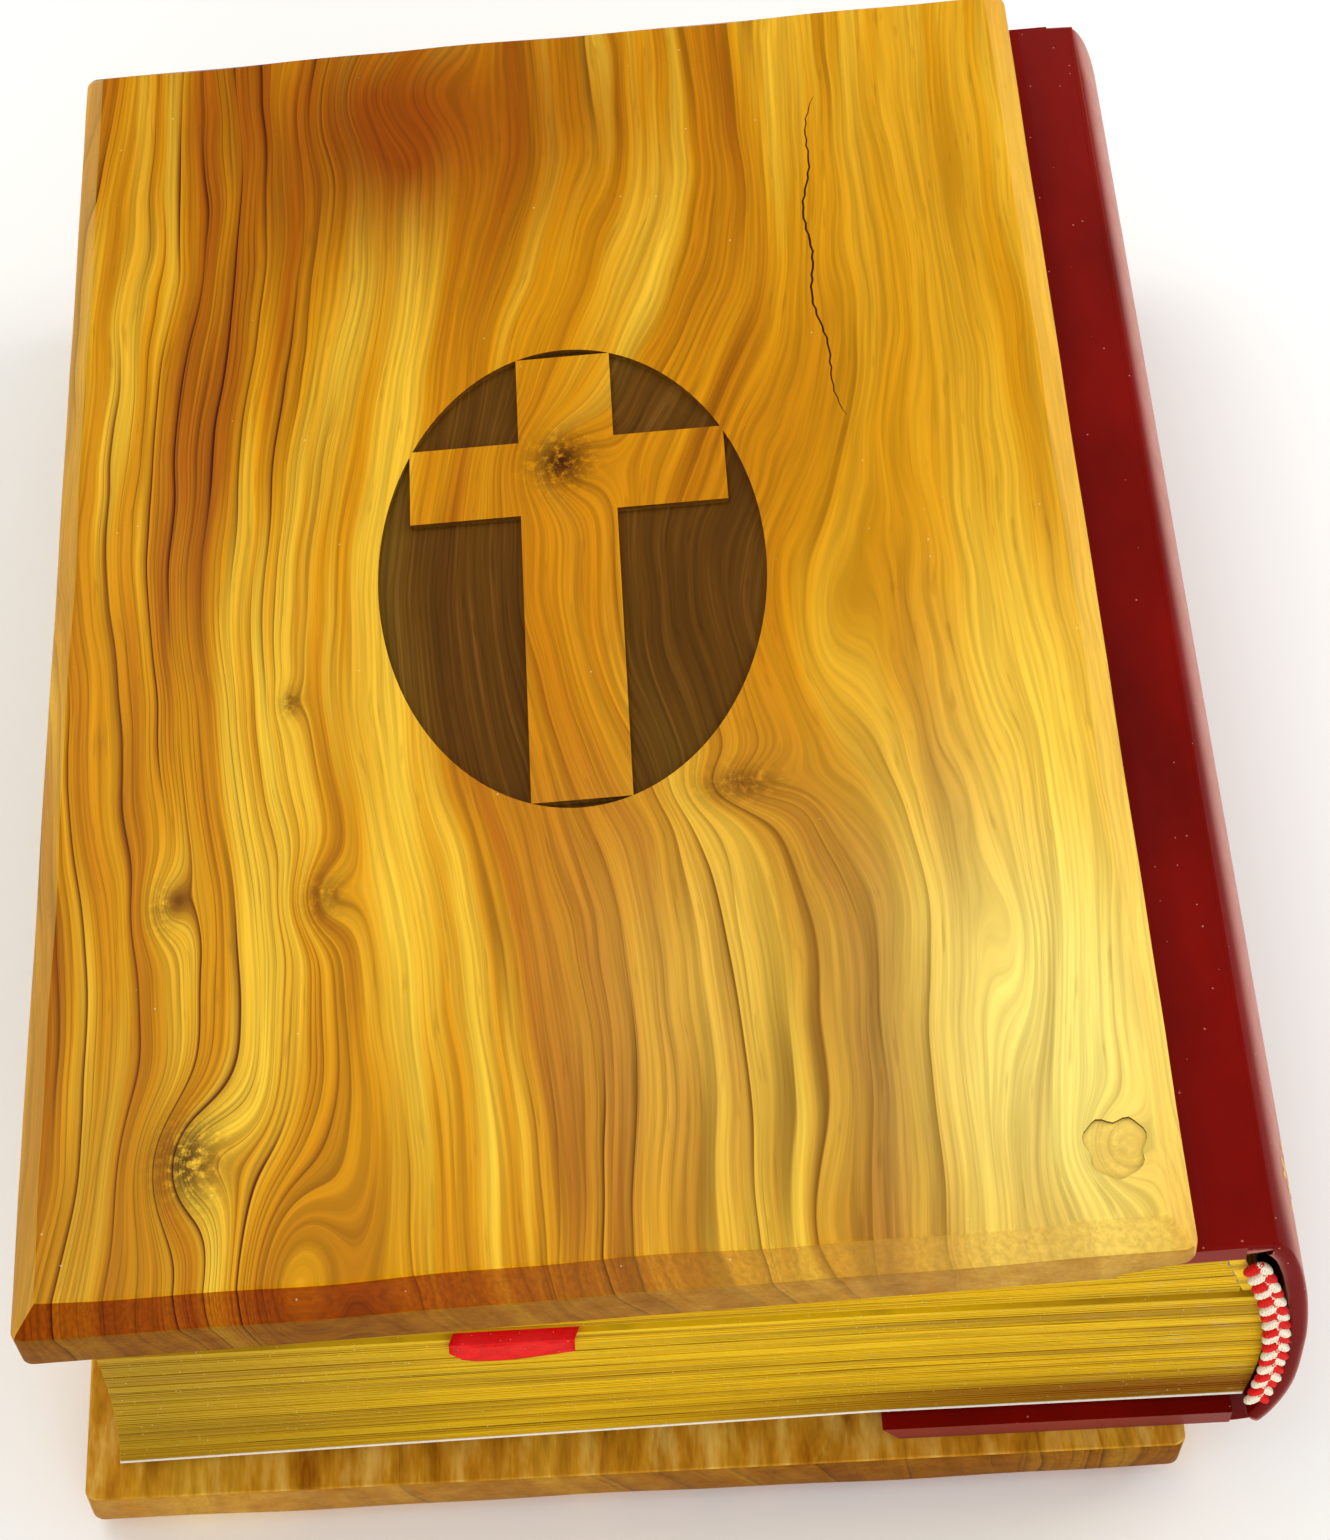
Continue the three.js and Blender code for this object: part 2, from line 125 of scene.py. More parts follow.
class Nodes:
    """Adds nodes to one tree and links them, so that a material reads as a list of steps."""

    def __init__(self, tree: Tree) -> None:
        """Keeps the tree that the steps go into."""
        self.tree = tree

    def add(self, kind: str, **settings: object) -> Node:
        """Adds a node.

        Args:
            kind: The node's type, without the ShaderNode in front.
            **settings: Properties to set on it.

        Returns:
            The new node.
        """
        node = self.tree.nodes.new("ShaderNode" + kind)
        for name, value in settings.items():
            setattr(node, name, value)
        return node

    def feed(self, socket: Socket, value: object) -> None:
        """Links a socket to another, or sets its constant, and leaves it alone for None.

        Args:
            socket: The socket to feed.
            value: A socket, a constant or None.
        """
        if value is None:
            return
        if isinstance(value, Socket):
            self.tree.links.new(value, socket)
        else:
            socket.default_value = value

    def math(self, operation: str, first: object, second: object = None, third: object = None,
             clamp: bool = False) -> Socket:
        """One step of arithmetic.

        Args:
            operation: A Math node operation.
            first: A socket or a number.
            second: A socket or a number, if the operation takes one.
            third: A socket or a number, if the operation takes one.
            clamp: Keeps the result between 0 and 1.

        Returns:
            The result's socket.
        """
        node = self.add("Math", operation=operation, use_clamp=clamp)
        for socket, value in zip(node.inputs, (first, second, third)):
            self.feed(socket, value)
        return node.outputs[0]

    def times(self, first: object, second: object, clamp: bool = False) -> Socket:
        """The product of two values, kept between 0 and 1 if clamp is set."""
        return self.math("MULTIPLY", first, second, clamp=clamp)

    def plus(self, first: object, second: object) -> Socket:
        """The sum of two values."""
        return self.math("ADD", first, second)

    def minus(self, first: object, second: object) -> Socket:
        """The first value less the second."""
        return self.math("SUBTRACT", first, second)

    def split(self, vector: Socket) -> Sequence[Socket]:
        """The three parts of a vector.

        Args:
            vector: What to split.

        Returns:
            Its X, Y and Z.
        """
        node = self.add("SeparateXYZ")
        self.feed(node.inputs[0], vector)
        return node.outputs

    def join(self, x: object, y: object, z: object = 0.0) -> Socket:
        """A vector made of three values.

        Args:
            x: The first part.
            y: The second part.
            z: The third part.

        Returns:
            The vector.
        """
        node = self.add("CombineXYZ")
        for socket, value in zip(node.inputs, (x, y, z)):
            self.feed(socket, value)
        return node.outputs[0]

    def stretch(self, vector: Socket, scale: Sequence[float],
                shift: Sequence[float] = (0, 0, 0)) -> Socket:
        """Scales and shifts a vector.

        Args:
            vector: What to scale.
            scale: Factor along each axis.
            shift: What to add afterwards.

        Returns:
            The changed vector.
        """
        node = self.add("Mapping")
        self.feed(node.inputs["Vector"], vector)
        node.inputs["Scale"].default_value = scale
        node.inputs["Location"].default_value = shift
        return node.outputs[0]

    def noise(self, vector: Socket, scale: object = 1.0, detail: float = 2.0,
              roughness: float = 0.5) -> Socket:
        """Smooth noise, about 0.5 on average.

        Args:
            vector: Where to read it.
            scale: How fine it is.
            detail: How many finer layers it has.
            roughness: How strong those layers are.

        Returns:
            The noise, 0 to 1.
        """
        node = self.add("TexNoise")
        self.feed(node.inputs["Vector"], vector)
        self.feed(node.inputs["Scale"], scale)
        node.inputs["Detail"].default_value = detail
        node.inputs["Roughness"].default_value = roughness
        return node.outputs[0]

    def window(self, value: Socket, low: float, high: float, start: float = 0.0,
               end: float = 1.0) -> Socket:
        """Maps low to start and high to end with an eased step between them.

        Args:
            value: The value to map.
            low: Where the step begins.
            high: Where the step ends.
            start: The result up to low.
            end: The result from high on.

        Returns:
            The mapped value.
        """
        node = self.add("MapRange", interpolation_type="SMOOTHSTEP")
        for socket, number in zip(node.inputs, (value, low, high, start, end)):
            self.feed(socket, number)
        return node.outputs[0]

    def ramp(self, value: Socket, stops: Sequence[tuple[float, Colour]]) -> Socket:
        """A colour that changes with a value.

        Args:
            value: The value, 0 to 1.
            stops: Where each colour lies.

        Returns:
            The colour.
        """
        node = self.add("ValToRGB")
        elements = node.color_ramp.elements
        for element in list(elements)[1:]:
            elements.remove(element)
        elements[0].position, elements[0].color = stops[0]
        for place, colour in stops[1:]:
            elements.new(place).color = colour
        self.feed(node.inputs[0], value)
        return node.outputs[0]

    def mix(self, share: object, first: object, second: object, blend: str = "MIX") -> Socket:
        """Mixes two colours.

        Args:
            share: How much of the second colour.
            first: A colour or its socket.
            second: A colour or its socket.
            blend: A Mix node blend type.

        Returns:
            The mixed colour.
        """
        node = self.add("Mix", data_type="RGBA", blend_type=blend)
        for index, value in ((0, share), (6, first), (7, second)):
            self.feed(node.inputs[index], value)
        return node.outputs[2]

    def bump(self, height: Socket, strength: float, depth: float) -> Socket:
        """A normal bent by a height.

        Args:
            height: The height, 0 to 1.
            strength: How much of the bend is used.
            depth: The height of 1 in millimetres.

        Returns:
            The bent normal.
        """
        node = self.add("Bump")
        node.inputs["Strength"].default_value = strength
        node.inputs["Distance"].default_value = depth * MM
        self.feed(node.inputs["Height"], height)
        return node.outputs[0]

    def group(self, effect: "Effect", **values: object) -> Node:
        """Places an effect's node group and sets its inputs by name, with _ for each space.

        Args:
            effect: Which effect.
            **values: What goes into each of its inputs.

        Returns:
            The placed group.
        """
        node = self.add("Group", node_tree=EFFECTS.get(effect))
        for name, value in values.items():
            self.feed(node.inputs[name.replace("_", " ")], value)
        return node

    def surface(self, shader: Node, colour: Socket, roughness: Socket, normal: Socket,
                **constants: float) -> None:
        """Feeds a shader, and sets its constants by name, with _ for each space.

        Args:
            shader: The material's shader.
            colour: Its base colour.
            roughness: Its roughness.
            normal: Its normal.
            **constants: What its other inputs are set to.
        """
        for name, value in (("Base Color", colour), ("Roughness", roughness), ("Normal", normal)):
            self.feed(shader.inputs[name], value)
        for name, number in constants.items():
            shader.inputs[name.replace("_", " ")].default_value = number

    def millimetres(self) -> Socket:
        """Where the surface is in its own piece, in millimetres."""
        return self.stretch(self.add("TexCoord").outputs["Object"], (1 / MM,) * 3)


class Effect(Enum):
    """Effects that several materials share, each a node group."""

    PATCH = "Patch"
    FIBRES = "Fibres"
    SPECKS = "Specks"
    WEAVE = "Weave"


class Effects:
    """Builds each shared effect once and hands out its node group."""

    def __init__(self) -> None:
        """Starts with no group built."""
        self.built: dict[Effect, Tree] = {}
        self.makers: dict[Effect, Callable[[], Tree]] = {
            Effect.PATCH: self._patch,
            Effect.FIBRES: self._fibres,
            Effect.SPECKS: self._specks,
            Effect.WEAVE: self._weave,
        }

    def get(self, effect: Effect) -> Tree:
        """The node group of an effect, built on first use.

        Args:
            effect: Which effect.

        Returns:
            Its node group.
        """
        if effect not in self.built:
            self.built[effect] = self.makers[effect]()
        return self.built[effect]

    @staticmethod
    def _open(effect: Effect, inputs: dict[str, float | None],
              outputs: Sequence[str]) -> tuple[Nodes, Node, Node]:
        """Starts a node group.

        Args:
            effect: What the group is.
            inputs: Each input's name and default, or None for a vector.
            outputs: The names of its outputs, all plain values.

        Returns:
            The steps, the group's input node and its output node.
        """
        tree = bpy.data.node_groups.new(effect.value, "ShaderNodeTree")
        for name, default in inputs.items():
            kind = "NodeSocketVector" if default is None else "NodeSocketFloat"
            socket = tree.interface.new_socket(name, in_out="INPUT", socket_type=kind)
            if default is not None:
                socket.default_value = default
        for name in outputs:
            tree.interface.new_socket(name, in_out="OUTPUT", socket_type="NodeSocketFloat")
        return Nodes(tree), tree.nodes.new("NodeGroupInput"), tree.nodes.new("NodeGroupOutput")

    def _patch(self) -> Tree:
        """A soft oval mask round one place: 1 in its middle and 0 well outside it.

        Returns:
            The node group.
        """
        inputs = {"Place": None, "X": 0.0, "Y": 0.0, "Half Width": 5.0, "Half Height": 5.0}
        steps, entry, leave = self._open(Effect.PATCH, inputs, ["Mask"])
        x, y, _ = steps.split(entry.outputs["Place"])
        across = steps.math("DIVIDE", steps.minus(x, entry.outputs["X"]),
                            entry.outputs["Half Width"])
        along = steps.math("DIVIDE", steps.minus(y, entry.outputs["Y"]),
                           entry.outputs["Half Height"])
        square = steps.plus(steps.times(across, across), steps.times(along, along))
        mask = steps.math("EXPONENT", steps.times(square, -1.0))
        steps.feed(leave.inputs["Mask"], mask)
        return steps.tree

    def _fibres(self) -> Tree:
        """Fine lines that run along Y: a tone about 0.5, and a mask of short dark pores.

        Returns:
            The node group.
        """
        inputs = {"Place": None, "Lines per mm": 2.0, "Length mm": 20.0, "Pores": 0.5}
        steps, entry, leave = self._open(Effect.FIBRES, inputs, ["Tone", "Pore"])
        x, y, z = steps.split(entry.outputs["Place"])
        lines = entry.outputs["Lines per mm"]
        across = steps.times(x, lines)
        deep = steps.times(z, lines)
        along = steps.math("DIVIDE", y, entry.outputs["Length mm"])
        fine = steps.noise(steps.join(across, along, deep), 1.0, 3.0, 0.6)
        steps.feed(leave.inputs["Tone"], fine)
        short = steps.times(along, 6.0)
        dashes = steps.noise(steps.join(across, short, deep), 0.8, 1.0)
        pore = steps.window(dashes, 0.66, 0.76)
        steps.feed(leave.inputs["Pore"], steps.times(pore, entry.outputs["Pores"]))
        return steps.tree

    def _specks(self) -> Tree:
        """Scattered round specks, such as dust or glitter.

        Returns:
            The node group.
        """
        inputs = {"Place": None, "Specks per mm": 0.6, "Size": 0.12, "Share": 0.3}
        steps, entry, leave = self._open(Effect.SPECKS, inputs, ["Mask"])
        cells = steps.add("TexVoronoi")
        steps.feed(cells.inputs["Vector"], entry.outputs["Place"])
        steps.feed(cells.inputs["Scale"], entry.outputs["Specks per mm"])
        inside = steps.math("LESS_THAN", cells.outputs["Distance"], entry.outputs["Size"])
        chance, _, _ = steps.split(cells.outputs["Color"])
        kept = steps.math("LESS_THAN", chance, entry.outputs["Share"])
        steps.feed(leave.inputs["Mask"], steps.times(inside, kept))
        return steps.tree

    def _weave(self) -> Tree:
        """Threads crossing at right angles in X and Y: a height from 0 to 1.

        Returns:
            The node group.
        """
        inputs = {"Place": None, "Threads per mm": 3.0}
        steps, entry, leave = self._open(Effect.WEAVE, inputs, ["Height"])
        x, y, _ = steps.split(entry.outputs["Place"])
        turn = steps.times(entry.outputs["Threads per mm"], math.pi)
        warp = steps.math("ABSOLUTE", steps.math("SINE", steps.times(x, turn)))
        weft = steps.math("ABSOLUTE", steps.math("SINE", steps.times(y, turn)))
        steps.feed(leave.inputs["Height"], steps.math("MAXIMUM", warp, weft))
        return steps.tree


EFFECTS = Effects()


def new_material(name: str) -> tuple[Material, Nodes, Node]:
    """Starts a material with one Principled shader.

    Args:
        name: The material's name.

    Returns:
        The material, its steps and its shader.
    """
    material = bpy.data.materials.new(name)
    material.use_nodes = True
    steps = Nodes(material.node_tree)
    shader = material.node_tree.nodes["Principled BSDF"]
    return material, steps, shader


# ------------ finishes


@dataclass(frozen=True)
class Spot:
    """An oval place on a board's outer face, in millimetres."""

    x: float
    y: float
    half_width: float
    half_height: float

    def mask(self, steps: Nodes, place: Socket, share: float = 1.0) -> Socket:
        """A soft mask of the spot.

        Args:
            steps: The material's steps.
            place: Where the surface is, in millimetres.
            share: How much of the spot's size the mask takes.

        Returns:
            The mask, 1 in the middle and 0 well outside.
        """
        patch = steps.group(Effect.PATCH, Place=place, X=self.x, Y=self.y,
                            Half_Width=self.half_width * share,
                            Half_Height=self.half_height * share)
        return patch.outputs[0]


@dataclass(frozen=True)
class Knot(Spot):
    """A place that the grain flows round.

    lift is how far it pushes the grain sideways, and core how dark its middle is.
    """

    lift: float
    core: float = 0.0


@dataclass(frozen=True)
class Stain(Spot):
    """A stretch of heartwood or sapwood with a colour of its own."""

    colour: Colour
    strength: float = 0.7


@dataclass(frozen=True)
class Calm(Spot):
    """A stretch of plain wood where the growth lines fade."""

    strength: float = 0.6


class Cut(Enum):
    """How a face of a board was cut and finished."""

    FACE = "face"
    END_CHAMFER = "end_chamfer"
    END_WALL = "end_wall"
    SIDE = "side"
    ENGRAVED = "engraved"
    SAWN = "sawn"


@dataclass(frozen=True)
class OliveWood:
    """Olive wood under lacquer: golden, with dark growth lines that wander round the knots."""

    name: str
    knots: tuple[Knot, ...]
    stains: tuple[Stain, ...]
    calms: tuple[Calm, ...] = ()
    dense_from: float = -24.0
    dense_rate: float = 0.42
    line_rate: float = 0.27
    seed: float = 0.0
    wander: float = 15.0
    fine_pace: float = 2.7
    fine_strength: float = 0.55
    core_share: float = 0.62
    shade: Colour = tone(112, 66, 22)
    dark: Colour = tone(172, 96, 2)
    middle: Colour = tone(214, 147, 8)
    light: Colour = tone(246, 200, 56)

    def _field(self, steps: Nodes, place: Socket) -> Socket:
        """How far across the growth lines a place lies, after every knot has pushed it.

        Args:
            steps: The material's steps.
            place: Where the surface is, in millimetres.

        Returns:
            How far across, in millimetres.
        """
        x, _, _ = steps.split(place)
        slow = steps.noise(steps.stretch(place, (0.011, 0.0085, 0.03), (self.seed, 3, 1)), 1.0, 1.0)
        quick = steps.noise(steps.stretch(place, (0.06, 0.024, 0.05), (self.seed, 9, 4)), 1.0, 2.0)
        across = steps.math("MULTIPLY_ADD", steps.minus(slow, 0.5), 2 * self.wander, x)
        across = steps.math("MULTIPLY_ADD", steps.minus(quick, 0.5), 7.0, across)
        for knot in self.knots:
            across = steps.math("MULTIPLY_ADD", knot.mask(steps, place), knot.lift, across)
        return across

    def _lines(self, steps: Nodes, across: Socket, place: Socket, pace: float) -> Socket:
        """Growth lines: dark on one side and fading on the other, each with its own strength.

        Args:
            steps: The material's steps.
            across: How far across the growth lines a place lies.
            place: Where the surface is, in millimetres.
            pace: How many times closer the lines lie than the main ones.

        Returns:
            The lines' strength, 0 to 1.
        """
        _, y, _ = steps.split(place)
        crowd = steps.math("MINIMUM", steps.minus(across, self.dense_from), 0.0)
        phase = steps.math("MULTIPLY_ADD", crowd, self.dense_rate,
                           steps.times(across, self.line_rate))
        drift = steps.noise(steps.join(steps.times(across, 0.13), steps.times(y, 0.004), self.seed),
                            1.0, 2.0)
        phase = steps.times(steps.math("MULTIPLY_ADD", drift, 3.2, phase), pace)
        number = steps.math("FLOOR", phase)
        within = steps.math("FRACT", phase)
        chance = steps.add("TexWhiteNoise", noise_dimensions="1D")
        steps.feed(chance.inputs["W"], steps.plus(number, self.seed))
        rise = steps.math("POWER", within, 3.5)
        fall = steps.window(within, 0.93, 1.0, 1.0, 0.0)
        edge = steps.times(rise, fall)
        fade = steps.noise(steps.join(steps.times(number, 5.7), steps.times(y, 0.022), self.seed),
                           1.0, 1.0)
        fade = steps.window(fade, 0.34, 0.6, 0.12, 1.0)
        dense = steps.window(across, self.dense_from - 8, self.dense_from + 14, 1.0, 0.72)
        fade = steps.times(fade, dense)
        weight = steps.times(steps.math("POWER", chance.outputs["Value"], 0.9), fade)
        return steps.times(edge, weight)

    def material(self, cut: Cut) -> Material:
        """The wood as it looks on one kind of cut.

        Args:
            cut: Which face of the board it is for.

        Returns:
            The material.
        """
        made, steps, shader = new_material(f"{self.name}_{cut.value}")
        place = steps.millimetres()
        x, y, z = steps.split(place)
        across = self._field(steps, place)
        thin = steps.times(self._lines(steps, across, place, self.fine_pace), self.fine_strength)
        lines = steps.math("MAXIMUM", self._lines(steps, across, place, 1.0), thin)
        grain = steps.join(across, y, z)
        fibres = steps.group(Effect.FIBRES, Place=grain, Lines_per_mm=2.1, Length_mm=30.0,
                             Pores=0.2)
        broad = steps.noise(steps.join(steps.times(across, 0.075), steps.times(y, 0.006),
                                       self.seed), 1.0, 2.5, 0.55)
        slope = steps.window(x, -45.0, 48.0, -0.03, 0.01)
        bands = steps.noise(steps.join(steps.times(across, 0.34), steps.times(y, 0.009), self.seed),
                            1.0, 2.0)
        busy: Socket | float = 1.0
        for calm in self.calms:
            faded = steps.math("MULTIPLY_ADD", calm.mask(steps, place), -calm.strength, 1.0)
            busy = steps.times(busy, faded)
        level = steps.plus(broad, slope)
        swing = steps.times(steps.minus(bands, 0.5), busy)
        level = steps.math("MULTIPLY_ADD", swing, 0.5, level)
        colour = steps.ramp(level, ((0.35, self.dark), (0.5, self.middle), (0.64, self.light)))
        streaked = steps.math("MULTIPLY_ADD", steps.minus(broad, 0.5), 1.6, 1.0)
        for stain in self.stains:
            share = steps.times(stain.mask(steps, place), streaked)
            share = steps.times(share, stain.strength, clamp=True)
            colour = steps.mix(share, colour, stain.colour)
        tint = steps.window(fibres.outputs["Tone"], 0.3, 0.7, 0.8, 1.16)
        colour = steps.mix(1.0, colour, steps.join(tint, tint, tint), "MULTIPLY")
        weight = steps.window(x, 26.0, 46.0, 2.0, 0.9)
        weight = steps.times(weight, busy)
        colour = steps.mix(steps.times(lines, weight, clamp=True), colour, self.shade, "MULTIPLY")
        colour = steps.mix(fibres.outputs["Pore"], colour, tone(120, 66, 10))
        rings = steps.noise(steps.stretch(place, (1.1, 1.1, 1.1)), 1.0, 3.0, 0.7)
        for knot in (one for one in self.knots if one.core):
            core = knot.mask(steps, place, self.core_share)
            share = steps.times(core, steps.window(rings, 0.3, 0.55))
            colour = steps.mix(steps.times(share, knot.core), colour, tone(70, 30, 2))
        height = steps.minus(fibres.outputs["Tone"], steps.times(fibres.outputs["Pore"], 0.6))
        self._finish(cut, steps, shader, place, colour, height)
        return made

    def _finish(self, cut: Cut, steps: Nodes, shader: Node, place: Socket, colour: Socket,
                height: Socket) -> None:
        """Gives the grain the gloss, tint and roughness of its cut; the end walls get painted shade
        and light, and the side faces a painted highlight.

        Args:
            cut: Which face of the board it is.
            steps: The material's steps.
            shader: Its Principled shader.
            place: Where the surface is, in millimetres.
            colour: The colour of the grain.
            height: The height of the grain.
        """
        x, _, _ = steps.split(place)
        cloud = steps.noise(steps.stretch(place, (0.35, 0.35, 0.5)), 1.0, 3.0, 0.6)
        speckle = steps.noise(place, 2.2, 3.0, 0.7)
        pale_end = steps.window(x, -20.0, 46.0)
        roughness = steps.window(cloud, 0.2, 0.8, 0.24, 0.36)
        strength, depth = 0.25, 0.05
        if cut is Cut.END_CHAMFER:
            burnt = steps.mix(1.0, colour, tone(192, 136, 44), "MULTIPLY")
            pale = steps.mix(0.35, colour, tone(226, 180, 74))
            colour = steps.mix(pale_end, burnt, pale)
            strength = 0.3
        elif cut is Cut.END_WALL:
            # End walls: raw end grain, painted darker at the left and paler at the right, as
            # painted shade and painted light falling from the right.
            left = steps.ramp(cloud, ((0.3, tone(84, 50, 14)), (0.7, tone(132, 92, 34))))
            right = steps.ramp(cloud, ((0.3, tone(168, 120, 48)), (0.7, tone(206, 166, 84))))
            raw_grain_and_painted_light = steps.mix(steps.window(x, -30.0, 45.0), left, right)
            colour = steps.mix(0.55, steps.mix(1.0, colour, tone(214, 190, 150), "MULTIPLY"), raw_grain_and_painted_light)
            height = speckle
            roughness = steps.window(cloud, 0.2, 0.8, 0.42, 0.6)
            strength, depth = 0.5, 0.12
        elif cut is Cut.SIDE:
            # Side faces are painted paler: a painted highlight, like the one the spine-side chamfer
            # catches.
            colour = steps.mix(0.35, colour, tone(236, 190, 84))
        elif cut is Cut.ENGRAVED:
            ground = steps.ramp(height, ((0.2, tone(58, 33, 8)), (0.55, tone(82, 50, 14)),
                                         (0.8, tone(112, 74, 30))))
            colour = steps.mix(0.08, ground, colour)
            roughness = steps.window(cloud, 0.2, 0.8, 0.5, 0.62)
            strength, depth = 0.6, 0.12
        elif cut is Cut.SAWN:
            across_saw = steps.noise(steps.stretch(place, (0.32, 0.07, 0.3)), 1.0, 4.0, 0.62)
            worn = steps.ramp(across_saw, ((0.34, tone(134, 74, 8)), (0.5, tone(204, 146, 38)),
                                           (0.66, tone(246, 206, 104))))
            colour = steps.mix(0.7, colour, worn)
            roughness = steps.window(cloud, 0.2, 0.8, 0.5, 0.7)
            strength, depth = 0.5, 0.15
        specks = steps.group(Effect.SPECKS, Place=place, Specks_per_mm=0.5, Size=0.055, Share=0.1)
        colour = steps.mix(steps.times(specks.outputs[0], 0.35), colour, tone(250, 236, 200))
        lacquer = {"Coat_Weight": 0.035, "Coat_Roughness": 0.14} if cut is Cut.FACE else {}
        steps.surface(shader, colour, roughness, steps.bump(height, strength, depth),
                      Specular_IOR_Level=0.03, **lacquer)


@dataclass(frozen=True)
class Leatherette:
    """Smooth burgundy covering with a fine grain, dust in it and a painted sheen where it turns
    from view.
    """

    name: str = "burgundy_leatherette"
    deep: Colour = tone(98, 4, 0)
    bright: Colour = tone(124, 8, 1)

    def material(self) -> Material:
        """The covering's material.

        Returns:
            The material.
        """
        made, steps, shader = new_material(self.name)
        place = steps.millimetres()
        cloud = steps.noise(steps.stretch(place, (0.06, 0.03, 0.06)), 1.0, 3.0, 0.6)
        colour = steps.ramp(cloud, ((0.35, self.deep), (0.65, self.bright)))
        grain = steps.add("TexVoronoi", feature="SMOOTH_F1")
        steps.feed(grain.inputs["Vector"], place)
        grain.inputs["Scale"].default_value = 3.4
        fine = steps.noise(place, 7.0, 2.0, 0.6)
        height = steps.math("MULTIPLY_ADD", fine, 0.5, grain.outputs["Distance"])
        dust = steps.group(Effect.SPECKS, Place=place, Specks_per_mm=0.85, Size=0.085, Share=0.3)
        colour = steps.mix(steps.times(dust.outputs[0], 0.6), colour, tone(214, 140, 124))
        # Painted sheen: the colour turns pale pink where the surface turns away from view, a
        # painted grazing highlight.
        turned = steps.add("LayerWeight").outputs["Facing"]
        colour = steps.mix(steps.window(turned, 0.5, 0.88, 0.0, 0.6), colour,
                           tone(206, 140, 124))
        rough = steps.window(steps.noise(place, 0.4, 4.0, 0.65), 0.25, 0.75, 0.3, 0.42)
        steps.surface(shader, colour, rough, steps.bump(height, 0.18, 0.06),
                      Specular_IOR_Level=0.06)
        return made


@dataclass(frozen=True)
class GiltEdge:
    """Gold leaf on cut page edges: fine page lines, glitter, brown low down and pale scuffs."""

    name: str = "gilt_edge"
    gold: Colour = tone(252, 210, 26)
    dull: Colour = tone(204, 158, 22)
    brown: Colour = tone(146, 82, 6)

    def material(self, brown_x: float, brown_z: float, spine_x: float) -> Material:
        """The gilding's material.

        Args:
            brown_x: Where the brown is strongest, across.
            brown_z: The height of that brown band.
            spine_x: Where the pale scuffs at the spine are.

        Returns:
            The material.
        """
        made, steps, shader = new_material(self.name)
        place = steps.millimetres()
        x, y, z = steps.split(place)
        leaf = steps.add("Attribute", attribute_name="leaf").outputs["Fac"]
        slow = steps.times(x, 0.014)
        sheet = steps.noise(steps.join(steps.times(leaf, 1.6), slow, steps.times(y, 0.03)), 1.0,
                            4.0, 0.75)
        pages = steps.noise(steps.join(steps.times(leaf, 6.0), steps.times(x, 0.09),
                                       steps.times(y, 0.09)), 1.0, 2.0, 0.6)
        bands = steps.noise(steps.join(steps.times(leaf, 0.16), slow, 2.0), 1.0, 2.0)
        colour = steps.ramp(bands, ((0.34, self.dull), (0.56, self.gold)))
        colour = steps.mix(steps.window(x, -58.0, -5.0, 0.75, 0.0), colour, tone(176, 138, 34))
        lines = steps.window(sheet, 0.54, 0.68, 0.0, 0.75)
        colour = steps.mix(lines, colour, tone(92, 66, 8))
        grit = steps.window(pages, 0.54, 0.74, 0.0, 0.4)
        colour = steps.mix(grit, colour, tone(120, 92, 14))
        # A brown band low down, stronger towards the spine.
        low = steps.math("DIVIDE", steps.minus(z, brown_z), 3.2)
        low_brown = steps.math("EXPONENT", steps.times(steps.times(low, low), -1.0))
        low_brown = steps.times(low_brown, steps.window(x, brown_x - 70, brown_x))
        colour = steps.mix(steps.times(low_brown, 0.95, clamp=True), colour, self.brown)
        smear = steps.noise(steps.stretch(place, (0.2, 0.2, 1.1)), 1.0, 4.0, 0.7)
        near = steps.window(x, spine_x - 24, spine_x - 5)
        scuff = steps.times(steps.window(smear, 0.56, 0.7), near)
        colour = steps.mix(steps.times(scuff, 0.3), colour, tone(222, 210, 160))
        glitter = steps.group(Effect.SPECKS, Place=place, Specks_per_mm=2.6, Size=0.2, Share=0.1)
        colour = steps.mix(steps.times(glitter.outputs[0], 0.6), colour, tone(255, 240, 170))
        metal = steps.minus(0.4, steps.times(lines, 0.4))
        steps.feed(shader.inputs["Metallic"], metal)
        height = steps.plus(sheet, steps.times(pages, 0.4))
        steps.surface(shader, colour, steps.window(pages, 0.3, 0.7, 0.34, 0.5),
                      steps.bump(height, 0.5, 0.12), Specular_IOR_Level=0.15)
        return made


@dataclass(frozen=True)
class Paper:
    """Uncoated paper or board with a faint fibre mottle."""

    name: str
    base: Colour
    mottle: Colour

    def material(self) -> Material:
        """The paper's material.

        Returns:
            The material.
        """
        made, steps, shader = new_material(self.name)
        place = steps.millimetres()
        fibre = steps.noise(steps.stretch(place, (1.5, 1.1, 1.5)), 1.0, 4.0, 0.7)
        colour = steps.ramp(fibre, ((0.35, self.mottle), (0.6, self.base)))
        steps.surface(shader, colour, steps.window(fibre, 0.3, 0.7, 0.75, 0.9),
                      steps.bump(fibre, 0.2, 0.05))
        return made


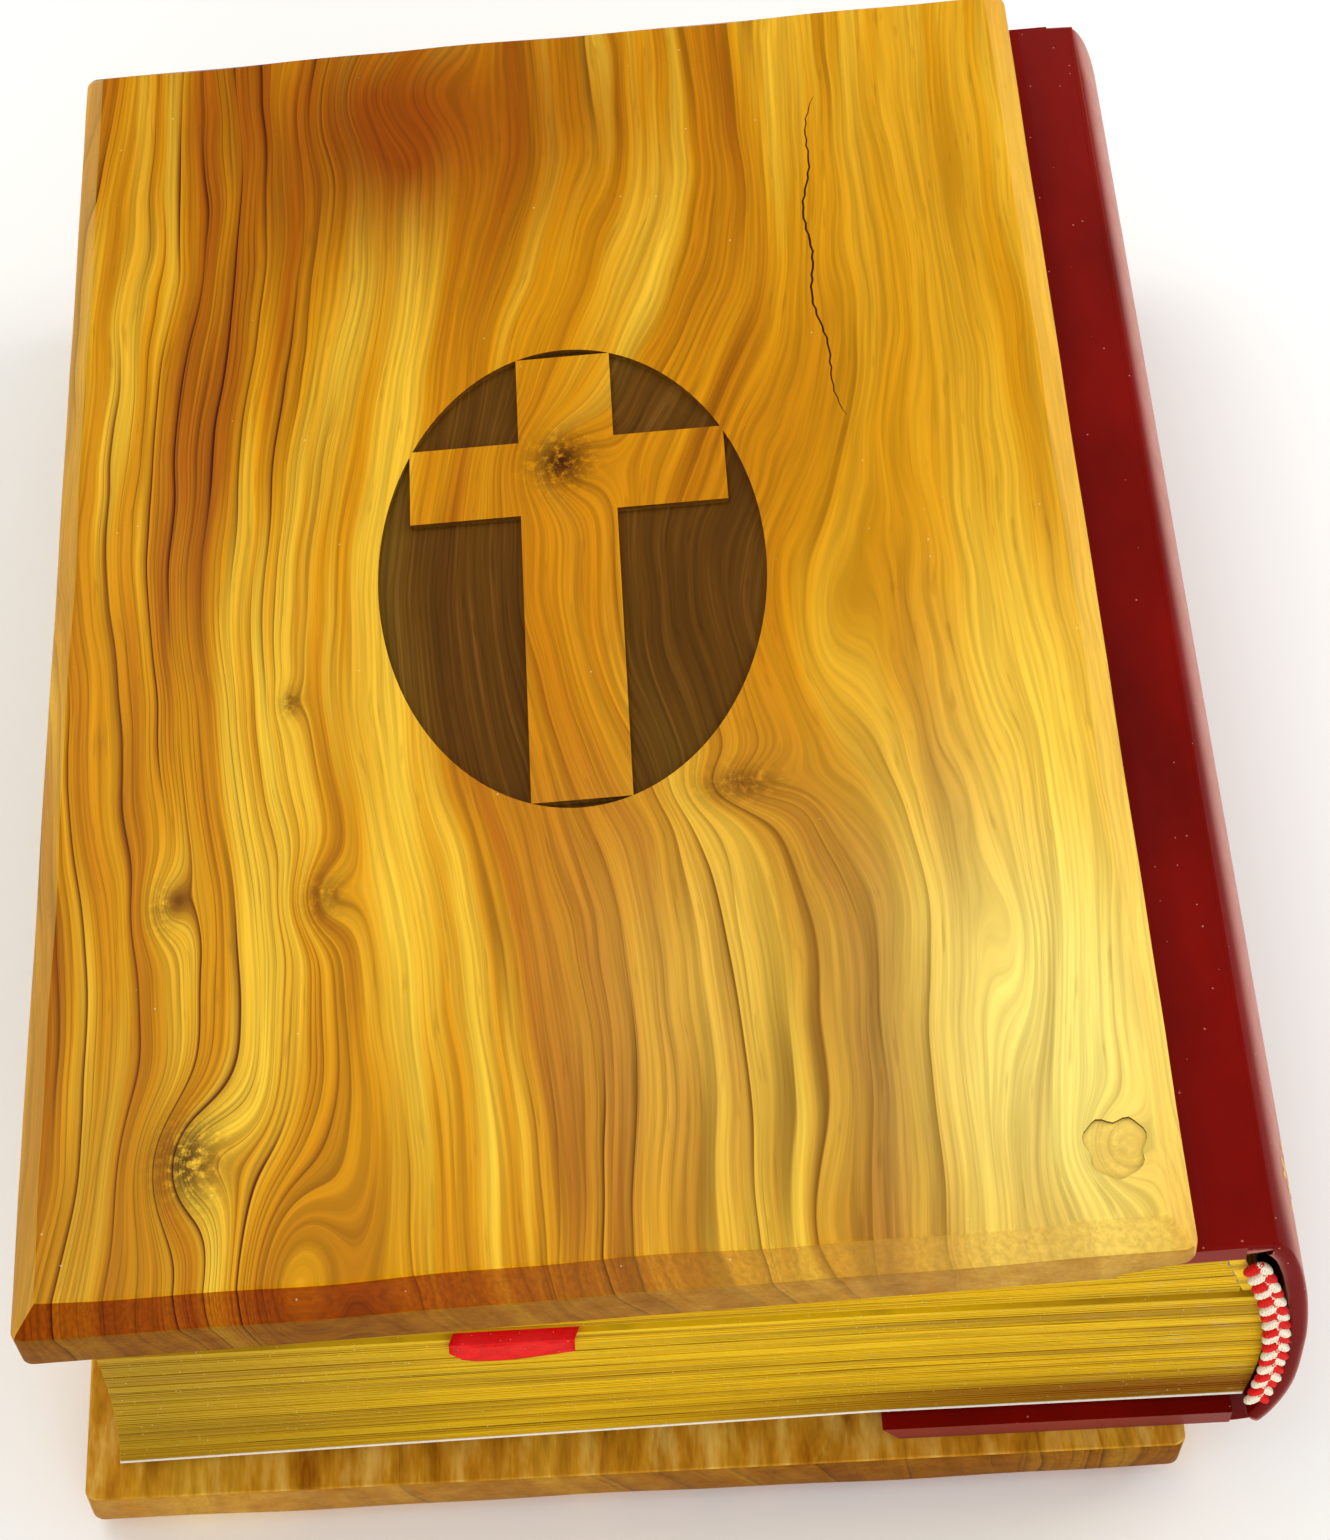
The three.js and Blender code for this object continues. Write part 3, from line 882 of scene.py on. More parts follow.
@dataclass(frozen=True)
class Thread:
    """Cotton thread or ribbon: a colour, its shade, a weave and a sheen."""

    name: str
    bright: Colour
    shade: Colour
    threads_per_mm: float = 3.0
    roughness: float = 0.7
    sheen: float = 0.3
    sparkle: float = 0.0

    def material(self) -> Material:
        """The thread's material.

        Returns:
            The material.
        """
        made, steps, shader = new_material(self.name)
        place = steps.millimetres()
        weave = steps.group(Effect.WEAVE, Place=place,
                            Threads_per_mm=self.threads_per_mm).outputs[0]
        fuzz = steps.noise(place, 2.4, 4.0, 0.7)
        both = steps.math("MULTIPLY_ADD", fuzz, 0.8, steps.times(weave, 0.4))
        # Where the weave is low the colour darkens: painted shade between the threads, with random
        # tone from the fuzz.
        colour = steps.ramp(both, ((0.42, self.shade), (0.75, self.bright)))
        if self.sparkle:
            glint = steps.group(Effect.SPECKS, Place=place, Specks_per_mm=2.2, Size=0.16,
                                Share=0.16)
            colour = steps.mix(steps.times(glint.outputs[0], self.sparkle), colour,
                               tone(255, 150, 140))
        rough = steps.window(fuzz, 0.3, 0.7, self.roughness - 0.08, self.roughness + 0.08)
        steps.surface(shader, colour, rough, steps.bump(both, 0.5, 0.08), Sheen_Weight=self.sheen,
                      Specular_IOR_Level=0.15)
        return made


@dataclass(frozen=True)
class GoldFoil:
    """Gold foil blocked onto the spine, rubbed thin in places."""

    name: str = "gold_foil"

    def material(self) -> Material:
        """The foil's material.

        Returns:
            The material.
        """
        made, steps, shader = new_material(self.name)
        place = steps.millimetres()
        rub = steps.noise(place, 1.6, 4.0, 0.7)
        colour = steps.ramp(rub, ((0.3, tone(150, 96, 30)), (0.5, tone(226, 178, 72))))
        steps.feed(shader.inputs["Metallic"], steps.window(rub, 0.3, 0.5, 0.5, 0.9))
        steps.surface(shader, colour, steps.window(rub, 0.3, 0.7, 0.28, 0.42),
                      steps.bump(rub, 0.2, 0.03))
        return made


# ------------ mesh helpers


def add_object(name: str, mesh: bpy.types.Mesh) -> Piece:
    """Puts a mesh into the scene as an object of that name.

    Args:
        name: The object's name.
        mesh: Its mesh.

    Returns:
        The object.
    """
    made = bpy.data.objects.new(name, mesh)
    bpy.context.scene.collection.objects.link(made)
    return made


def build(name: str, points: Sequence[Sequence[float]], faces: Sequence[Sequence[int]],
          even: bool = True) -> Piece:
    """Makes an object from points in millimetres.

    Args:
        name: The object's name.
        points: Its vertices.
        faces: Its faces, as lists of vertex numbers.
        even: Shades it smooth.

    Returns:
        The object, with its faces pointing outwards.
    """
    mesh = bpy.data.meshes.new(name)
    mesh.from_pydata([Vector(point) * MM for point in points], [], faces)
    shell = bmesh.new()
    shell.from_mesh(mesh)
    bmesh.ops.recalc_face_normals(shell, faces=shell.faces)
    shell.to_mesh(mesh)
    shell.free()
    made = add_object(name, mesh)
    if even:
        mesh.shade_smooth()
    return made


def loops_to_faces(rings: int, around: int, first: int = 0) -> list[list[int]]:
    """Quads between rings of vertices, and a cap on each end.

    Args:
        rings: How many rings there are.
        around: How many vertices each ring has.
        first: The number of the first vertex.

    Returns:
        The faces.
    """
    faces = []
    for ring in range(rings - 1):
        for step in range(around):
            a = first + ring * around + step
            b = first + ring * around + (step + 1) % around
            faces.append([a, b, b + around, a + around])
    faces.append([first + step for step in reversed(range(around))])
    faces.append([first + (rings - 1) * around + step for step in range(around)])
    return faces


def prism(name: str, outline: Sequence[Point2], low: float, high: float) -> Piece:
    """A straight block on an outline, which serves as a cutting tool.

    Args:
        name: The object's name.
        outline: Its outline in X and Y.
        low: The height of its lower end.
        high: The height of its upper end.

    Returns:
        The block.
    """
    points = [(x, y, z) for z in (low, high) for x, y in outline]
    return build(name, points, loops_to_faces(2, len(outline)), even=False)


def corners_of(node: Piece) -> list[Vector]:
    """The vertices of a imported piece, in millimetres."""
    return [vertex.co / MM for vertex in node.data.vertices]


def mark_leaves(piece: Piece, numbers: Sequence[float]) -> None:
    """Stores each vertex's place in the stack of leaves, which the gilding's lines follow."""
    attribute = piece.data.attributes.new("leaf", "FLOAT", "POINT")
    attribute.data.foreach_set("value", numbers)


def bake_modifiers(piece: Piece) -> None:
    """Applies a piece's modifiers to its own mesh.

    Args:
        piece: The piece.
    """
    graph = bpy.context.evaluated_depsgraph_get()
    result = bpy.data.meshes.new_from_object(piece.evaluated_get(graph))
    piece.modifiers.clear()
    old = piece.data
    piece.data = result
    bpy.data.meshes.remove(old)


def soften(piece: Piece, width: float, segments: int = 2, angle: float = 40) -> None:
    """Rounds a piece's sharp edges by a bevel.

    Args:
        piece: The piece.
        width: The bevel's width in millimetres.
        segments: How many faces the round has.
        angle: Edges sharper than this many degrees are rounded.
    """
    bevel = piece.modifiers.new("round", "BEVEL")
    bevel.width = width * MM
    bevel.segments = segments
    bevel.limit_method = "ANGLE"
    bevel.angle_limit = math.radians(angle)


def cut_away(piece: Piece, tool: Piece) -> None:
    """Cuts a tool's shape out of a piece, and removes the tool.

    Args:
        piece: The piece.
        tool: The shape to cut out of it.
    """
    cut = piece.modifiers.new("cut", "BOOLEAN")
    cut.operation = "DIFFERENCE"
    cut.solver = "EXACT"
    cut.object = tool
    bpy.context.view_layer.update()
    bake_modifiers(piece)
    bpy.data.objects.remove(tool)


class SubAssembly:
    """What every group of pieces can do: dress a piece that it built."""

    def dress(self, piece: Piece, *materials: Material) -> None:
        """Gives a piece its materials and reports it.

        Args:
            piece: The piece.
            *materials: Its material slots, in order.
        """
        for material in materials:
            piece.data.materials.append(material)
        LOG.info("%s: %d faces, %s", piece.name, len(piece.data.polygons), materials[0].name)


# ------------ places


@dataclass(frozen=True)
class Seat:
    """Where a board lies: its own axes in the row frame, and its size.

    Its origin is the middle of the tail edge of the inner face, X runs across the board, Y to the
    head and Z out through the outer face. Sizes are in millimetres.
    """

    matrix: Matrix
    width: float
    height: float
    thickness: float

    @classmethod
    def of(cls, node: Piece, outward: float) -> "Seat":
        """Reads a board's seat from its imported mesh.

        Args:
            node: The board.
            outward: 1 where its outer face looks up, and -1 where it looks down.

        Returns:
            The seat.
        """
        facing = [face for face in node.data.polygons if face.normal.z * outward > 0.9]
        up = max(facing, key=lambda face: face.area).normal.copy()
        head = Vector((0, 1, 0))
        right = head.cross(up).normalized()
        axes = (right, head, up)
        reach = [[vertex.co.dot(axis) / MM for vertex in node.data.vertices] for axis in axes]
        low = [min(values) for values in reach]
        high = [max(values) for values in reach]
        corner = right * (low[0] + high[0]) / 2 + head * low[1] + up * low[2]
        turn = Matrix((right, head, up)).transposed().to_4x4()
        matrix = Matrix.Translation(corner * MM) @ turn
        size = [top - bottom for bottom, top in zip(low, high)]
        return cls(matrix, *size)


@dataclass(frozen=True)
class Wedge:
    """The outline of a packed gathering: its heights at the fore-edge, the knee and the fold."""

    fore: tuple[Point2, Point2]
    knee: tuple[Point2, Point2]
    fold: tuple[Point2, Point2]
    tail: float
    head: float
    lean: float

    @classmethod
    def of(cls, node: Piece) -> "Wedge":
        """Reads a gathering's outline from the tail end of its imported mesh.

        Args:
            node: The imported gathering.

        Returns:
            The outline.
        """
        same, near_fore, near_fold = 0.01, 2.0, 5.0
        corners = corners_of(node)
        middle = sum(corner.y for corner in corners) / len(corners)
        tail_end = sorted(((c.x, c.z, c.y) for c in corners if c.y < middle), key=lambda c: c[0])
        found: list[Point3] = []
        for corner in tail_end:
            if all(abs(corner[0] - x) + abs(corner[1] - z) > same for x, z, _ in found):
                found.append(corner)
        left = sorted((c for c in found if c[0] < found[0][0] + near_fore), key=lambda c: c[1])
        right = sorted((c for c in found if c[0] > found[-1][0] - near_fold), key=lambda c: c[1])
        knee = sorted((c for c in found if c not in left and c not in right), key=lambda c: c[1])
        low, high = min(found, key=lambda c: c[1]), max(found, key=lambda c: c[1])
        lean = (high[2] - low[2]) / (high[1] - low[1])
        head_end = max(corners, key=lambda c: c.y)

        def pair(group: list[Point3]) -> tuple[Point2, Point2]:
            """The lowest and highest point of a group, without their third part."""
            return (group[0][0], group[0][1]), (group[-1][0], group[-1][1])

        tail = low[2] - lean * low[1]
        return cls(pair(left), pair(knee), pair(right), tail, head_end.y - lean * head_end.z, lean)

    def height(self, x: float, share: float) -> float:
        """The height of a leaf at x, where share runs from 0 at the bottom to 1 at the top.

        Args:
            x: The place across.
            share: How far up the gathering's thickness.

        Returns:
            The height in millimetres.
        """
        ends = [lerp(pair[0][1], pair[1][1], share) for pair in (self.fore, self.knee, self.fold)]
        places = [lerp(pair[0][0], pair[1][0], share) for pair in (self.fore, self.knee, self.fold)]
        if x <= places[1]:
            return lerp(ends[0], ends[1], (x - places[0]) / (places[1] - places[0]))
        return lerp(ends[1], ends[2], (x - places[1]) / (places[2] - places[1]))


def joint_place(frame: dict, name: str) -> Vector:
    """Where a joint's axis is, in millimetres."""
    joint = next(one for one in frame["joints"] if one["name"] == name)
    return Vector(joint["pos_m"]) / MM


# ------------ boards


@dataclass
class WoodenBoard(SubAssembly):
    """A chamfered board, sanded by hand so that its edges are rounded and its lines waver."""

    node: str
    body: str
    wood: OliveWood
    slot: str
    chamfer_inset: float = 2.6
    chamfer_drop: float = 2.4
    corner: float = 1.3
    edge_round: float = 0.3
    waver: float = 0.16
    straight_steps: int = 36
    corner_steps: int = 6
    least_radius: float = 0.35
    face_margin: float = 0.15
    wall_margin: float = 0.1
    facing: float = 0.7
    flat: float = 0.98

    def _ring(self, seat: Seat, inset: float, height: float, waver: float) -> list[Point3]:
        """One loop round the board.

        Args:
            seat: The board's seat.
            inset: How far inside the board's outline the loop runs.
            height: Its height over the inner face.
            waver: How far it wanders.

        Returns:
            The loop's points with their heights.
        """
        half = seat.width / 2 - inset
        low, high = inset, seat.height - inset
        radius = max(self.corner - inset, self.least_radius)
        turns = [(half - radius, low + radius, -90), (half - radius, high - radius, 0),
                 (-half + radius, high - radius, 90), (-half + radius, low + radius, 180)]
        points: list[Point2] = []
        for index, (x, y, start) in enumerate(turns):
            for step in range(self.corner_steps + 1):
                angle = math.radians(start + 90 / self.corner_steps * step)
                points.append((x + radius * math.cos(angle), y + radius * math.sin(angle)))
            nx, ny, nstart = turns[(index + 1) % 4]
            end = (nx + radius * math.cos(math.radians(nstart)),
                   ny + radius * math.sin(math.radians(nstart)))
            begin = points[-1]
            for step in range(1, self.straight_steps):
                share = step / self.straight_steps
                points.append((lerp(begin[0], end[0], share), lerp(begin[1], end[1], share)))
        wavering = []
        for x, y in points:
            bend = math.sin(0.11 * x + 0.07 * y + 1.3) + 0.6 * math.sin(0.31 * x - 0.23 * y + 0.4)
            shrink = waver * bend
            wavering.append((x - math.copysign(shrink, x) * min(1.0, abs(x) / 40),
                             y + shrink * (1 if y < seat.height / 2 else -1), height))
        return wavering

    def build(self, seat: Seat) -> Piece:
        """Builds the board in its own axes and lays it on its seat.

        Args:
            seat: Where it lies.

        Returns:
            The board.
        """
        top, wall = seat.thickness, seat.thickness - self.chamfer_drop
        soft = self.edge_round
        slope = self.chamfer_inset / self.chamfer_drop
        levels = [(soft, 0.0, 0.0), (0.3 * soft, 0.3 * soft, 0.0), (0.0, soft, 0.0),
                  (0.0, wall - soft, 0.3), (0.25 * soft, wall, 0.5),
                  (soft * slope, wall + soft, 0.6),
                  (self.chamfer_inset - soft * slope, top - soft, 1.0),
                  (self.chamfer_inset - 0.1, top - 0.25 * soft, 1.0),
                  (self.chamfer_inset + soft, top, 1.0)]
        points: list[Sequence[float]] = []
        for inset, height, share in levels:
            points += self._ring(seat, inset, height, self.waver * share)
        around = len(points) // len(levels)
        faces = loops_to_faces(len(levels), around)
        board = build(f"{self.node}_wood", points, faces)
        self._carve(board, seat)
        self.dress(board, *(self.wood.material(cut) for cut in Cut))
        self._sort_faces(board, seat)
        board.matrix_world = seat.matrix
        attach(board, self.body)
        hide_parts(self.node)
        return board

    def _carve(self, board: Piece, seat: Seat) -> None:
        """Cuts what else the board has; a plain board has nothing."""

    def _sort_faces(self, board: Piece, seat: Seat) -> None:
        """Gives each face the material of its cut, by where it lies and which way it looks.

        Args:
            board: The board, with one slot for each cut.
            seat: Its seat.
        """
        order = list(Cut)
        wall = seat.thickness - self.chamfer_drop
        for face in board.data.polygons:
            place, normal = face.center / MM, face.normal
            end = abs(normal.y) > abs(normal.x)
            if place.z > seat.thickness - self.face_margin and normal.z > self.facing:
                cut = Cut.FACE
            elif self._is_ground(place, normal, seat):
                cut = Cut.ENGRAVED
            elif normal.z < -self.facing:
                cut = Cut.SAWN
            elif place.z > wall - self.wall_margin:
                cut = Cut.END_CHAMFER if end else Cut.SIDE
            else:
                cut = Cut.END_WALL if end else Cut.SIDE
            face.material_index = order.index(cut)
            face.use_smooth = abs(normal.z) < self.flat

    def _is_ground(self, place: Vector, normal: Vector, seat: Seat) -> bool:
        """Whether a face belongs to the sunk ground of an emblem."""
        return False


@dataclass
class EmblemBoard(WoodenBoard):
    """The front board: a cross left standing in a sunk oval, and a corner pared at the back."""

    oval_x: float = 0.6
    oval_y: float = 82.5
    oval_half_width: float = 20.5
    oval_half_height: float = 30.2
    oval_depth: float = 0.7
    shaft: float = 10.3
    arm: float = 10.0
    span: float = 34.0
    arm_y: float = 95.0
    pared_width: float = 8.5
    pared_height: float = 3.0
    pared_lip: float = 1.0
    pared_rise: float = 1.5
    pared_reach: float = 5.0
    crack_x: float = 28.8
    crack_bow: float = 2.1
    crack_tail: float = 100.0
    crack_head: float = 148.0
    crack_depth: float = 0.35
    chip_x: float = 48.5
    chip_y: float = 9.9
    chip_depth: float = 0.3
    chip_radius: float = 2.7
    chip_squareness: float = 1.12
    crack_least: float = 0.03
    crack_spread: float = 0.1
    rim_share: float = 1.03
    crack_zone: Point2 = (3.0, 25.0)
    chip_zone: Point2 = (3.6, 4.2)
    overrun: float = 1.0

    def _carve(self, board: Piece, seat: Seat) -> None:
        """Cuts the oval ground round the cross, then pares the corner and dulls the sharp edges.

        Args:
            board: The board.
            seat: Its seat.
        """
        top = seat.thickness
        around = 120
        angles = [2 * math.pi * step / around for step in range(around)]
        oval = [(self.oval_x + self.oval_half_width * math.cos(a),
                 self.oval_y + self.oval_half_height * math.sin(a)) for a in angles]
        ground = prism("oval_tool", oval, top - self.oval_depth, top + self.overrun)
        reach = self.oval_half_height * math.sqrt(1 - (self.shaft / 2 / self.oval_half_width) ** 2)
        half_shaft, half_span, half_arm = self.shaft / 2, self.span / 2, self.arm / 2
        low, high = self.oval_y - reach, self.oval_y + reach
        cross = [(-half_shaft, low), (half_shaft, low), (half_shaft, self.arm_y - half_arm),
                 (half_span, self.arm_y - half_arm), (half_span, self.arm_y + half_arm),
                 (half_shaft, self.arm_y + half_arm), (half_shaft, high), (-half_shaft, high),
                 (-half_shaft, self.arm_y + half_arm), (-half_span, self.arm_y + half_arm),
                 (-half_span, self.arm_y - half_arm), (-half_shaft, self.arm_y - half_arm)]
        cross = [(self.oval_x + x, y) for x, y in cross]
        cut_away(ground, prism("cross_tool", cross, top - self.oval_depth - self.overrun,
                               top + 2 * self.overrun))
        cut_away(board, ground)
        edge = seat.width / 2
        wedge = [(edge - self.pared_width, -self.overrun), (edge + self.overrun, -self.overrun),
                 (edge + self.overrun, self.pared_height),
                 (edge - self.pared_width + self.pared_rise, self.pared_lip)]
        points = [(x, y, z) for y in (-self.overrun, self.pared_reach) for x, z in wedge]
        knife = build("paring_tool", points, loops_to_faces(2, len(wedge)), even=False)
        cut_away(board, knife)
        self._dull_rim(board, top)
        cut_away(board, self._crack(top))
        cut_away(board, self._chip(top))

    def _chip(self, top: float) -> Piece:
        """The shape of a shallow chip beside the corner, wavering round a square.

        Args:
            top: The height of the board's outer face.

        Returns:
            The cutting tool.
        """
        around = 36
        outline = []
        for step in range(around):
            angle = 2 * math.pi * step / around
            square = 1 / max(abs(math.cos(angle)), abs(math.sin(angle)))
            reach = self.chip_radius * min(square, self.chip_squareness)
            reach += 0.25 * math.sin(3 * angle) + 0.14 * math.sin(7 * angle)
            outline.append((self.chip_x + reach * math.cos(angle),
                            self.chip_y + 1.1 * reach * math.sin(angle)))
        return prism("chip_tool", outline, top - self.chip_depth, top + self.overrun)

    def _crack(self, top: float) -> Piece:
        """The shape of a fine drying crack, widest in its middle.

        Args:
            top: The height of the board's outer face.

        Returns:
            The cutting tool.
        """
        steps = 56
        points = []
        for step in range(steps + 1):
            share = step / steps
            y = lerp(self.crack_tail, self.crack_head, share)
            x = self.crack_x + self.crack_bow * (2 * share - 1) ** 2
            x += 0.34 * math.sin(0.47 * y) + 0.09 * math.sin(2.9 * y)
            half = self.crack_least + self.crack_spread * math.sin(math.pi * share) ** 0.6
            points += [(x - half, y, top + self.overrun), (x + half, y, top + self.overrun),
                       (x + half, y, top - self.crack_depth), (x - half, y, top - self.crack_depth)]
        return build("crack_tool", points, loops_to_faces(steps + 1, 4), even=False)

    def _dull_rim(self, board: Piece, top: float, width: float = 0.13) -> None:
        """Rounds the upper rim of the sunk ground a little.

        Args:
            board: The board.
            top: The height of its outer face.
            width: The width of the round, in millimetres.
        """
        shell = bmesh.new()
        shell.from_mesh(board.data)
        rim = []
        for edge in shell.edges:
            ends = [vertex.co / MM for vertex in edge.verts]
            near = all(abs(end.z - top) < 0.01 for end in ends)
            reach = max(((end.x - self.oval_x) / self.oval_half_width) ** 2
                        + ((end.y - self.oval_y) / self.oval_half_height) ** 2 for end in ends)
            inside = reach < 1.02
            walls = [face for face in edge.link_faces if abs(face.normal.z) < 0.3]
            if near and inside and walls:
                rim.append(edge)
        bmesh.ops.bevel(shell, geom=rim, offset=width * MM, segments=2, profile=0.5,
                        affect="EDGES", clamp_overlap=True)
        shell.to_mesh(board.data)
        shell.free()

    def _is_ground(self, place: Vector, normal: Vector, seat: Seat) -> bool:
        """Whether a face gets the dark engraved finish: the sunk oval ground and its low walls, the
        crack's faces and the chip's walls.

        Args:
            place: The face's middle, in millimetres.
            normal: Which way it looks.
            seat: The board's seat.

        Returns:
            Whether it has the engraved finish.
        """
        across = (place.x - self.oval_x) / self.oval_half_width
        along = (place.y - self.oval_y) / self.oval_half_height
        inside = across ** 2 + along ** 2 < self.rim_share
        sunk = place.z > seat.thickness - self.oval_depth - 0.1
        beside = abs(place.x - self.crack_x - 1) < self.crack_zone[0]
        middle = (self.crack_tail + self.crack_head) / 2
        cracked = beside and abs(place.y - middle) < self.crack_zone[1]
        near_chip = (abs(place.x - self.chip_x) < self.chip_zone[0]
                     and abs(place.y - self.chip_y) < self.chip_zone[1])
        return sunk and (inside or cracked or (near_chip and abs(normal.z) < 0.5))


# ------------ page block


@dataclass
class Gathering(SubAssembly):
    """One folded gathering of leaves, built as thin groups of leaves with their own edges."""

    node: str
    leaves: int = 9
    unevenness: float = 0.07
    gap: float = 0.022
    columns: int = 8
    set_back: float = 0.0
    least_trim: float = 0.003
    outer_recess: float = 0.04

    def _slab(self, wedge: Wedge, low: float, high: float, trims: Sequence[float],
              stations: Sequence[float]) -> list[Point3]:
        """The vertices of one group of leaves: four at each station across.

        Args:
            wedge: The gathering's outline.
            low: The share of its thickness where the group starts.
            high: Where it ends.
            trims: What is cut off at the tail, the head and the fore-edge.
            stations: The places across, from the fore-edge to the fold.

        Returns:
            The vertices.
        """
        points = []
        for index, x in enumerate(stations):
            place = x + trims[2] if index == 0 else x
            bottom, top = wedge.height(x, low), wedge.height(x, high)
            for y_cut, z in ((trims[0], bottom), (trims[0], top), (-trims[1], top),
                             (-trims[1], bottom)):
                end = wedge.tail if y_cut >= 0 else wedge.head
                points.append((place, end + wedge.lean * z + y_cut, z))
        return points

    def build(self, wedge: Wedge, fold_x: float, seed: int) -> Piece:
        """Builds the gathering.

        Args:
            wedge: Its outline.
            fold_x: Where its leaves end at the back, or 0 for the outline's own end.
            seed: Chooses the unevenness.

        Returns:
            The piece, not yet riding on anything.
        """
        chance = random.Random(seed)
        points: list[Point3] = []
        faces: list[list[int]] = []
        marks: list[float] = []
        for leaf in range(self.leaves):
            low = leaf / self.leaves
            high = (leaf + 1) / self.leaves - self.gap
            trims = [chance.uniform(self.least_trim, self.unevenness) for _ in range(3)]
            if self.leaves > 1 and leaf in (0, self.leaves - 1):
                recess = self.unevenness + self.outer_recess + self.set_back
                trims[0] = 0.0 if leaf == 0 else recess
            middle = (low + high) / 2
            fore = lerp(wedge.fore[0][0], wedge.fore[1][0], middle)
            knee = lerp(wedge.knee[0][0], wedge.knee[1][0], middle)
            fold = fold_x or lerp(wedge.fold[0][0], wedge.fold[1][0], middle)
            stations = [fore, lerp(fore, knee, 0.5), knee]
            stations += [lerp(knee, fold, step / self.columns) for step in range(1,
                                                                                 self.columns + 1)]
            first = len(points)
            points += self._slab(wedge, low, high, trims, stations)
            faces += loops_to_faces(len(stations), 4, first=first)
            number = seed * self.leaves + leaf
            marks += [number, number + 1, number + 1, number] * len(stations)
        piece = build(f"{self.node}_leaves", points, faces, even=False)
        mark_leaves(piece, marks)
        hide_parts(self.node)
        return piece

    def open_faces(self, piece: Piece) -> None:
        """Gives the two open faces the second material; the cut edges keep the first.

        Args:
            piece: The gathering, with two material slots.
        """
        marks = [item.value for item in piece.data.attributes["leaf"].data]
        outer = {min(marks), max(marks)}
        for face in piece.data.polygons:
            levels = {marks[vertex] for vertex in face.vertices}
            if abs(face.normal.z) > 0.9 and len(levels) == 1 and levels <= outer:
                face.material_index = 1


@dataclass
class PageBlock(SubAssembly):
    """All gatherings, the flyleaves and the folds at the back."""

    frame: dict
    marked: int = 4
    gatherings: int = 15
    bend_from: float = 1.2
    set_back: float = 0.9
    bending_columns: int = 14
    fold_depth: float = 0.5
    fold_gap: float = 0.05
    fold_lines: float = 6.0

    def build(self) -> None:
        """Builds every gathering, the front flyleaf and the folds, and dresses them."""
        spine = joint_place(self.frame, "back_joint").x
        low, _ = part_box("section_15")
        gilt = GiltEdge().material(brown_x=spine - 10, brown_z=low.z / MM + 4.0, spine_x=spine)
        leaf_paper = Paper("leaf_paper", tone(244, 236, 214), tone(232, 222, 196)).material()
        for number in range(1, self.gatherings + 1):
            name = f"section_{number:02d}"
            wedge = Wedge.of(self.frame["nodes"][name])
            under_ribbon = number == self.marked + 1
            if number <= self.marked:
                hinge = joint_place(self.frame, f"leaves_{number}_turn")
                gathering = Gathering(name, columns=self.bending_columns)
                piece = gathering.build(wedge, hinge.x - self.bend_from, number)
                self._bend(piece, f"marked_leaves_{number}", hinge, wedge.fold[0][0])
            else:
                gathering = Gathering(name, set_back=self.set_back if under_ribbon else 0.0)
                piece = gathering.build(wedge, 0.0, number)
                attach(piece, "book_block")
            gathering.dress(piece, gilt, leaf_paper)
            if number <= self.marked or under_ribbon:
                gathering.open_faces(piece)
        self.dress(self._build_flyleaf(), leaf_paper)
        self.dress(self._build_folds(), gilt)

    def _build_flyleaf(self) -> Piece:
        """Builds the front flyleaf.

        Returns:
            The flyleaf.
        """
        hinge = joint_place(self.frame, "leaves_1_turn")
        reach = Wedge.of(self.frame["nodes"]["section_01"]).fold[0][0]
        outline = Wedge.of(self.frame["nodes"]["front_flyleaf"])
        fly = Gathering("front_flyleaf", leaves=1, unevenness=0.01, gap=0.0,
                        columns=self.bending_columns)
        sheet = fly.build(outline, hinge.x - self.bend_from, 0)
        self._bend(sheet, "marked_leaves_1", hinge, reach)
        return sheet

    def _bend(self, piece: Piece, body: str, hinge: Vector, reach: float) -> None:
        """Bakes a piece's placement into its mesh; it does not bend the piece.

        Args:
            piece: The piece.
            body: Not used.
            hinge: Not used.
            reach: Not used.
        """
        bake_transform(piece)

    def _build_folds(self) -> Piece:
        """Builds the rounded folds of the marked gatherings, which stay with the block.

        Returns:
            The folds.
        """
        node = self.frame["nodes"]["marked_section_folds"]
        corners = corners_of(node)
        wedge = Wedge.of(self.frame["nodes"]["section_04"])
        low, high = min(c.z for c in corners), max(c.z for c in corners)
        hinges = [joint_place(self.frame, f"leaves_{k}_turn") for k in range(self.marked, 0, -1)]
        points: list[Point3] = []
        steps = 16
        for step in range(steps + 1):
            z = lerp(low, high, step / steps)
            share = (z - hinges[0].z) / (hinges[-1].z - hinges[0].z)
            back = lerp(hinges[0].x, hinges[-1].x, share) + self.fold_depth
            front = back - self.fold_depth - self.bend_from + self.fold_gap
            for x, end in ((front, wedge.tail), (back, wedge.tail), (back, wedge.head),
                           (front, wedge.head)):
                inset = self.fold_gap if end == wedge.tail else -self.fold_gap
                points.append((x, end + wedge.lean * z + inset, z))
        piece = build("marked_folds", points, loops_to_faces(steps + 1, 4), even=False)
        mark_leaves(piece, [point[2] * self.fold_lines for point in points])
        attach(piece, "book_block")
        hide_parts("marked_section_folds")
        return piece


# ------------ case


